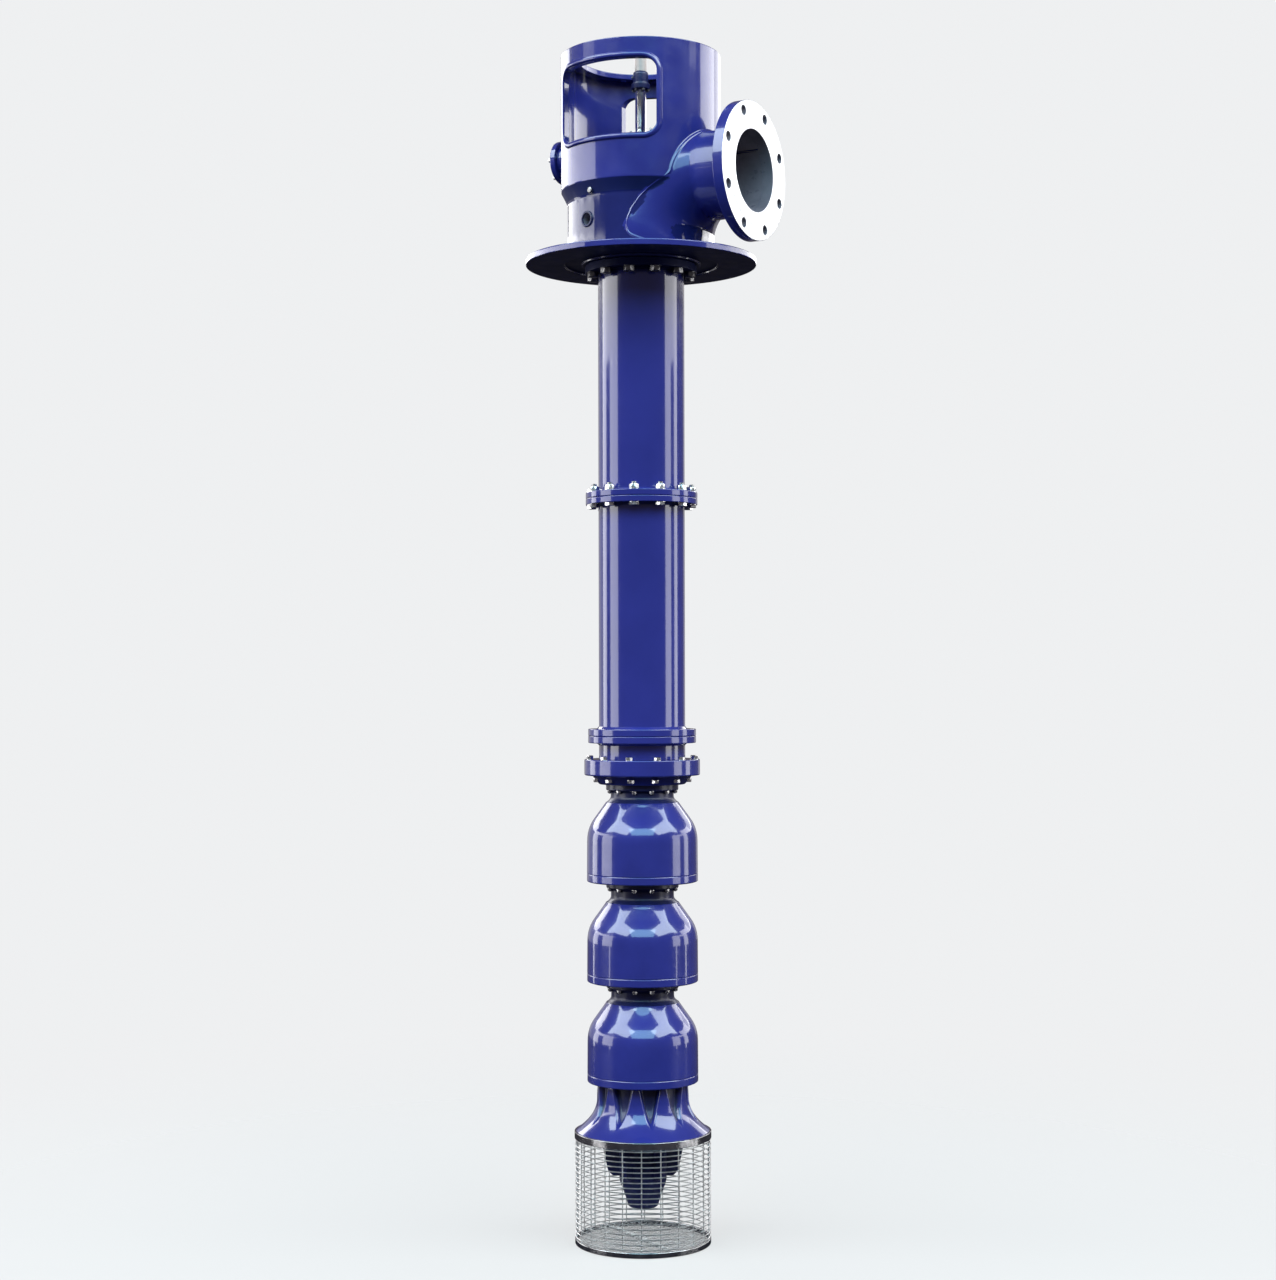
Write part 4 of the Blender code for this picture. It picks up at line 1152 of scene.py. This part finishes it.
def bowl(number):
    # A straight cone with a rounded shoulder. Between its ridges are shallow flutes, as deep as
    # depth |cos(n (a - facing) / 2)| sin(pi s), with s from 0 at the barrel to 1 at the top
    look = bowlLook
    bottom = look["bottom"] - look["pitch"] * (number - 1)
    barrelTop = bottom + look["barrel"]
    shoulderTop = barrelTop + look["shoulder"] - pump["seam"]
    groove = bottom + look["line"]
    coneTop = np.array([look["topRadius"], shoulderTop])
    coneFoot = np.array([look["radius"] - 0.0008, barrelTop + look["shoulderLift"]])
    cone = coneTop + (coneFoot - coneTop) * np.linspace(0, look["coneShare"], 8)[1:, None]
    corners = [
        (0, shoulderTop),
        (*coneTop, 0.0008),
        *[tuple(point) for point in cone],
        (*coneFoot, look["rounding"]),
        (look["radius"], groove + 0.0016, 0.0006),
        (look["radius"] - look["lineDepth"], groove, 0.0006),
        (look["radius"], groove - 0.0016, 0.0006),
        (look["radius"], bottom + 0.002, 0.0018),
        (look["radius"] - 0.005, bottom, 0.002),
        (0, bottom),
    ]

    def flutes(turn, level):
        share = np.clip((level - barrelTop) / look["shoulder"], 0, 1)
        wave = np.abs(np.cos(look["flutes"] / 2 * (turn - math.radians(pump["cameraSide"]))))
        return -look["fluteDepth"] * wave * np.sin(np.pi * share)

    makePiece(f"bowl{number}", turned(corners, 192, ripple=flutes), "castEnamel", [f"bowl_{number}"])
    top = (adapterLook["bottom"] if number == 1 else bottom + look["pitch"]) - pump["seam"]
    collarFoot, foot = top - neckLook["collar"], shoulderTop + pump["seam"]
    neck = [
        (0, top),
        (neckLook["top"], top, 0.001),
        (neckLook["top"], collarFoot, 0.002),
        (neckLook["waist"], collarFoot - 0.003, 0.004),
        (neckLook["waist"], foot + neckLook["flare"], 0.006),
        (neckLook["waist"] + neckLook["flare"], foot),
        (0, foot),
    ]
    makePiece(f"bowlNeck{number}", turned(neck, 144), "darkEnamelAndPocketShade", [f"bowl_neck_{number}"])
    small = {"flats": 0.011, "height": 0.006, "washer": 0.001, "stud": 0.002}
    first = pump["cameraSide"] + pump["boltTurn"]
    places = ringPlaces(neckLook["bolts"], neckLook["circle"], collarFoot, first, down=True)
    boltSet(f"neckBolts{number}", "zincBolt", (small, places))


bowlAdapter()
for number in (1, 2, 3):
    bowl(number)
print("bowls made")

bellLook = {
    "top": -2.0733, "neck": 0.1155, "waistHeight": -2.112, "web": 0.1165, "waist": 0.104, "bottom": -2.197,
    "mouth": 0.170, "wall": 0.010, "roof": 0.020, "pockets": 10, "pocketDepth": 0.0175, "pocketEnd": -2.174,
    "pocketAngle": -51, "pocketWidth": 0.82, "pocketCurve": 0.7, "pocketEdge": 0.22, "shadeFrom": 0.009,
    "flarePower": 2.2,
}


def bellRadius(height, waist):
    # A smooth step, 3s^2 - 2s^3, from the neck to the waist, then s^2.2 out to the mouth
    look = bellLook
    above = height > look["waistHeight"]
    share = np.where(
        above,
        (look["top"] - height) / (look["top"] - look["waistHeight"]),
        (look["waistHeight"] - height) / (look["waistHeight"] - look["bottom"]),
    )
    start = np.where(above, look["neck"], waist)
    end = np.where(above, waist, look["mouth"])
    share = np.clip(share, 0, 1)
    bend = np.where(above, share**2 * (3 - 2 * share), share**look["flarePower"])
    return start + (end - start) * bend


def suctionBell():
    # Pockets between cast webs: each is as wide as width (1 - s)^curve of its share of the turn and
    # as deep as sqrt(1 - s^2), with s from 0 at the top to 1 where its point ends
    look = bellLook
    outerHeights = np.linspace(look["top"] - 0.004, look["bottom"] + 0.003, 60)
    innerHeights = np.linspace(look["bottom"] + 0.003, look["waistHeight"], 18)
    roof = look["top"] - look["roof"]
    corners = [
        (0, look["top"]),
        (look["neck"] - 0.002, look["top"]),
        *zip(bellRadius(outerHeights, look["web"]), outerHeights),
        (look["mouth"], look["bottom"], 0.0015),
        (look["mouth"] - look["wall"], look["bottom"], 0.0015),
        *zip(bellRadius(innerHeights, look["waist"]) - look["wall"], innerHeights),
        (look["waist"] - look["wall"], roof, 0.006),
        (0, roof),
    ]
    outerCount = 1 + len(outerHeights)
    line = rounded(corners)
    angle = fullTurn(480)[None]
    radius, height = line[:, :1] + 0 * angle, line[:, 1:] + 0 * angle
    isOuter = (np.arange(len(line)) < outerCount)[:, None]
    share = np.clip((look["top"] - height) / (look["top"] - look["pocketEnd"]), 0, 1)
    half = np.pi / look["pockets"]
    fromFirst = angle - math.radians(look["pocketAngle"])
    fromMiddle = np.abs((fromFirst + half) % (2 * half) - half) / half
    halfWidth = look["pocketWidth"] * (1 - share) ** look["pocketCurve"] + 1e-6
    inPocket = np.clip((halfWidth - fromMiddle) / look["pocketEdge"], 0, 1)
    pocket = look["pocketDepth"] * np.sqrt(1 - share**2) * inPocket**2 * (3 - 2 * inPocket)
    radius = radius - np.where(isOuter, pocket, 0)
    rows = ringPoints(radius, angle, height)
    bell = makePiece("suctionBell", skin(rows), "castEnamel", ["suction_bell"], crease=60)

    def pocketShadeFaces(centres, normals):
        # Outer faces that lie deeper than a share of the pocket's depth; they get darker enamel as painted
        # shade
        depth = bellRadius(centres[:, 2], look["web"]) - fromShaft(centres)
        upper = (centres[:, 2] < look["top"] - 0.004) & (centres[:, 2] > look["pocketEnd"])
        return upper & (depth > look["shadeFrom"]) & (depth < look["pocketDepth"] + 0.002)

    # The pockets' deep faces get darker enamel as painted shade
    repaint(bell, "darkEnamelAndPocketShade", pocketShadeFaces)


hubLook = {
    "head": 0.061, "foot": 0.060, "waist": 0.046, "nose": 0.037, "rounding": 0.008,
    "bottom": -2.392, "ribBottom": -2.313, "centre": 0.016, "centreDepth": 0.004,
}


def suctionHub():
    # A turned core that narrows in steps to a nose with a dimple
    look = hubLook
    top = bellLook["top"] - bellLook["roof"] - pump["seam"]
    corners = [
        (0, top),
        (look["head"], top, 0.002),
        (look["foot"], look["ribBottom"] - 0.012, 0.010),
        (look["waist"], look["ribBottom"] - 0.048, 0.010),
        (look["nose"], look["bottom"], look["rounding"]),
        (look["centre"] + 0.002, look["bottom"], 0.002),
        (look["centre"], look["bottom"] + look["centreDepth"], 0.002),
        (0, look["bottom"] + look["centreDepth"]),
    ]
    makePiece("suctionHub", turned(corners, 96), "darkEnamelAndPocketShade", ["suction_hub"])


def softCopy(node, name, finish, width, segments):
    # A copy of a solid with its doubles merged and its edges rounded by a live bevel
    work = bmesh.new()
    work.from_mesh(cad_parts[node].data)
    bmesh.ops.remove_doubles(work, verts=work.verts, dist=1e-6)
    bmesh.ops.dissolve_limit(work, angle_limit=0.01, verts=work.verts, edges=work.edges)
    bmesh.ops.recalc_face_normals(work, faces=work.faces)
    mesh = bpy.data.meshes.new(name)
    work.to_mesh(mesh)
    work.free()
    piece = linked(name, mesh)
    dress(piece, finish, [node], crease=60)
    bevel = piece.modifiers.new("edges", "BEVEL")
    bevel.width = width
    bevel.segments = segments
    bevel.limit_method = "ANGLE"
    bevel.harden_normals = True


suctionBell()
suctionHub()
for number in range(1, 7):
    softCopy(f"suction_rib_{number}", f"suctionRib{number}", "darkEnamelAndPocketShade", width=0.0032, segments=4)
print("suction bell made")

basketLook = {
    "radius": 0.173, "wire": 0.0015, "top": -2.2153, "bottom": -2.469, "ring": -2.482,
    "hoops": 20, "topGap": 0.004, "footGap": 0.006, "uprights": 22, "firstUpright": -61.4, "panels": 12,
    "bandTop": -2.1973, "bandProud": 0.001, "ringWall": 0.0055,
}
meshLook = {"pitch": 0.0125, "wire": 0.0008, "level": -2.4745, "radius": 0.1668}


def hoopBand(outer, inner, top, bottom, rounding):
    # A flat ring with rounded edges
    corners = [(outer, top), (outer, bottom), (inner, bottom), (inner, top)]
    return turned([(*corner, rounding) for corner in corners], 192, loop=True)


def strainerBands():
    look = basketLook
    inner = look["radius"] - look["ringWall"]
    outer, foot = look["radius"] + look["bandProud"], look["top"] + pump["seam"]
    band = hoopBand(outer, inner, look["bandTop"], foot, 0.001)
    makePiece("strainerTopBand", band, "bandSteel", ["strainer_top_band"])
    ring = hoopBand(look["radius"], inner, look["bottom"], look["ring"], 0.0015)
    makePiece("strainerBottomRing", ring, "bandSteel", ["strainer_bottom_ring"])


def strainerBasket():
    # Hoops are circles at even heights, uprights are straight lines just inside them
    look = basketLook
    wire = look["wire"]
    angle = fullTurn(96)
    outer = look["radius"] - wire
    hoop = tube(ringPoints(outer, angle, 0 * angle), wire, 6, loop=True)
    hoopPlaces = np.tile(np.eye(4), (look["hoops"], 1, 1))
    highest, lowest = look["top"] - look["topGap"], look["bottom"] + look["footGap"]
    hoopPlaces[:, 2, 3] = np.linspace(highest, lowest, look["hoops"])
    level = np.linspace(look["top"] + 0.004, look["bottom"] - 0.002, 5)
    rod = tube(np.stack([0 * level, 0 * level, level], axis=-1), wire, 8)
    inside = outer - 2 * wire + 0.0002
    uprights = placed(rod, ringPlaces(look["uprights"], inside, 0, look["firstUpright"]))
    panels = [f"strainer_panel_{number + 1}" for number in range(look["panels"])]
    makePiece("strainerBasket", together(placed(hoop, hoopPlaces), uprights), "stainless", panels)


def strainerMesh():
    # Woven wires: along x at each even y, height = lift cos(pi (x / pitch + row)), and the same
    # along y a half turn later, each as long as the circle allows
    look = meshLook
    count = int(look["radius"] / look["pitch"])
    offsets = look["pitch"] * np.arange(-count, count + 1)
    wires = []
    for row, offset in enumerate(offsets):
        half = math.sqrt(look["radius"] ** 2 - offset**2)
        along = np.linspace(-half, half, max(8, int(4 * half / look["pitch"])))
        for turned90, phase in ((False, row), (True, row + 1)):
            height = look["level"] + look["wire"] * np.cos(math.pi * (along / look["pitch"] + phase))
            other = np.full_like(along, offset)
            path = np.stack([other, along, height] if turned90 else [along, other, height], axis=-1)
            wires.append(tube(path, look["wire"], 5))
    makePiece("strainerMesh", together(*wires), "stainless", ["strainer_bottom_grille"])


strainerBands()
strainerBasket()
strainerMesh()
softCopy("strainer_cross_bar", "strainerCrossBar", "stainless", width=0.0009, segments=3)
print("strainer made")

# The studio: a pale floor that fades into the pale surroundings, and far soft panels all round,
# which give the castings their long bright streaks
studio = {
    "floorLevel": -2.4835,
    "floorColour": (0.145, 0.138, 0.135),
    "floorGlow": 0.55,
    "fadeFrom": 0.9,
    "fadeTo": 3.6,
    "backdrop": (0.86, 0.87, 0.88),
    "gloom": (0.13, 0.115, 0.13),
    "lowGloom": (0.020, 0.022, 0.035),
    "gloomRise": (-0.24, -0.10),  # the low gloom turns into the other between these heights
    "distance": 20,
    "widest": 22,  # degrees: wider panels are made of several side by side
    "white": (1, 1, 1),
    "sky": (0.42, 0.82, 1.0),
    "paleSky": (0.82, 0.95, 1.0),
    # each panel: from and to this angle round from the camera's side, bottom, top, watts a square metre
    "panels": {
        "leftInner": (-93, -66, -3.4, 2.6, 12.5),
        "leftOuter": (-126, -108, -3.4, 2.6, 11),
        "leftThinInner": (-74, -71, -4.9, -3.4, 12),
        "leftThinOuter": (-124, -120.5, -4.9, -3.4, 14),
        "leftBand": (-92, -66, -6.6, -5.95, 6),
        "leftBridge": (-126, -66, 2.6, 3.72, 13),
        "leftRim": (-175, -57, 3.68, 4.02, 14),
        "leftDrum": (-158, -78, 3.96, 4.45, 13),
        "leftStand": (-162, -68, 4.45, 5.1, 13),
        "leftTop": (-165, -124, 5.1, 8.0, 14),
        "leftTopFaint": (-90, -70, 5.7, 8.0, 4),
        "leftRear": (-165, -126, -3.4, 3.66, 1.1),
        "rightInner": (66, 85, -3.4, 2.6, 12),
        "rightOuter": (97, 110, -3.4, 2.6, 11),
        "rightThinInner": (73, 76, -4.9, -3.4, 12),
        "rightThinOuter": (100, 103.5, -4.9, -3.4, 14),
        "rightBand": (64, 104, -6.6, -5.95, 6),
        "rightBridge": (66, 110, 2.6, 3.72, 12),
        "rightRim": (67, 175, 3.68, 4.02, 13),
        "rightDrum": (100, 170, 3.96, 4.6, 12),
        "rightTop": (95, 131, 4.6, 8.0, 13),
        "rightTopRear": (131, 172, 4.6, 8.0, 6),
        "rightTopFaint": (74, 86, 5.9, 8.0, 4),
        "rightRear": (150, 165, -3.4, 3.66, 1.1),
    },
    # high panels: from and to this angle round, from and to this rise above the horizon, watts, colour
    "highPanels": {
        "highLeft": (-95, -28, 22, 57, 24, "paleSky"),
        "highFront": (-28, 28, 21, 54, 17, "sky"),
        "highRight": (28, 92, 22, 57, 24, "paleSky"),
    },
}


def studioFloor():
    # A flat round sheet whose paper fades out away from the shaft's axis
    rows = np.array([0.02, 1.0, studio["fadeTo"] + 0.5])[:, None]
    angle = fullTurn(64)[None]
    points = ringPoints(rows, angle, studio["floorLevel"] + 0 * rows * angle)
    index = np.arange(rows.size * angle.size).reshape(rows.size, angle.size)
    aside = np.roll(index, -1, axis=1)
    quads = np.stack([index[:-1], index[1:], aside[1:], aside[:-1]], axis=-1).reshape(-1, 4)
    mesh = bpy.data.meshes.new("studioFloor")
    mesh.from_pydata(points.reshape(-1, 3).tolist(), [], [*quads.tolist(), index[0].tolist()])
    floor = linked("studioFloor", mesh)
    floor.visible_glossy = False  # the castings mirror dim surroundings below, not the paper
    floor.visible_diffuse = False
    floor.visible_shadow = False
    paper = bpy.data.materials.new("paleFloor")
    paper.use_nodes = True
    nodes = paper.node_tree.nodes
    fromAxis = distance(nodes, nodes.new("ShaderNodeTexCoord").outputs["Object"], (0, 0, 0), (1, 1, 0))
    wire(nodes["Principled BSDF"], {
        "Base Color": (*studio["floorColour"], 1),
        "Roughness": 0.7,
        "Emission Color": (*studio["white"], 1),
        "Emission Strength": studio["floorGlow"],
        "Alpha": mapped(nodes, fromAxis, 1, 0, studio["fadeFrom"], studio["fadeTo"], "SMOOTHSTEP"),
    })
    mesh.materials.append(paper)


def studioWorld():
    # The camera sees pale surroundings; the enamel mirrors dimmer ones, so streaks stand out
    world = bpy.data.worlds.new("studioWorld")
    world.use_nodes = True
    nodes = world.node_tree.nodes
    pale, dim = nodes["Background"], nodes.new("ShaderNodeBackground")
    parts = nodes.new("ShaderNodeSeparateXYZ")
    wire(parts, {"Vector": nodes.new("ShaderNodeTexCoord").outputs["Generated"]})
    rise = mapped(nodes, parts.outputs["Z"], 0, 1, *studio["gloomRise"], "SMOOTHSTEP")
    wire(pale, {"Color": (*studio["backdrop"], 1)})
    wire(dim, {"Color": mixed(nodes, rise, studio["lowGloom"], studio["gloom"])})
    seen = nodes.new("ShaderNodeLightPath").outputs["Is Camera Ray"]
    choice = nodes.new("ShaderNodeMixShader")
    wire(choice, {"Fac": seen, 1: dim.outputs["Background"], 2: pale.outputs["Background"]})
    wire(nodes["World Output"], {"Surface": choice.outputs["Shader"]})
    bpy.context.scene.world = world


def studioPanel(name, place, aim, width, height, watts, colour):
    # A soft light that the camera doesn't see; its power grows with its area
    light = bpy.data.lights.new(name, "AREA")
    light.shape = "RECTANGLE"
    light.size, light.size_y = width, height
    light.energy = watts * width * height
    light.color = colour
    panel = linked(name, light)
    panel.location = place
    panel.rotation_euler = (Vector(aim) - Vector(place)).to_track_quat("-Z", "Y").to_euler()
    panel.visible_camera = False


def uprightPanels():
    # Each group spans its angles with panels side by side: width = 2 d tan(span / 2)
    far = studio["distance"]
    for name, (start, end, low, high, watts) in studio["panels"].items():
        count = math.ceil((end - start) / studio["widest"])
        span = math.radians(end - start) / count
        width, level = 2 * far * math.tan(span / 2), (low + high) / 2
        for i in range(count):
            turn = math.radians(pump["cameraSide"] + start) + span * (i + 0.5)
            place = (far * math.cos(turn), far * math.sin(turn), level)
            studioPanel(f"{name}{i}", place, (0, 0, level), width, high - low, watts, studio["white"])


def highPanels():
    # Each leans towards the base plate from the middle of its angles round and above
    far = studio["distance"]
    for name, (start, end, low, high, watts, colour) in studio["highPanels"].items():
        turn, rise = math.radians(pump["cameraSide"] + (start + end) / 2), math.radians((low + high) / 2)
        width = 2 * far * math.cos(rise) * math.tan(math.radians(end - start) / 2)
        height = 2 * far * math.tan(math.radians(high - low) / 2)
        reach = far * math.cos(rise)
        place = (reach * math.cos(turn), reach * math.sin(turn), far * math.sin(rise))
        studioPanel(name, place, (0, 0, 0), width, height, watts, studio[colour])


studioFloor()
studioWorld()
uprightPanels()
highPanels()
bpy.context.scene.view_settings.view_transform = "Standard"
print("studio made")
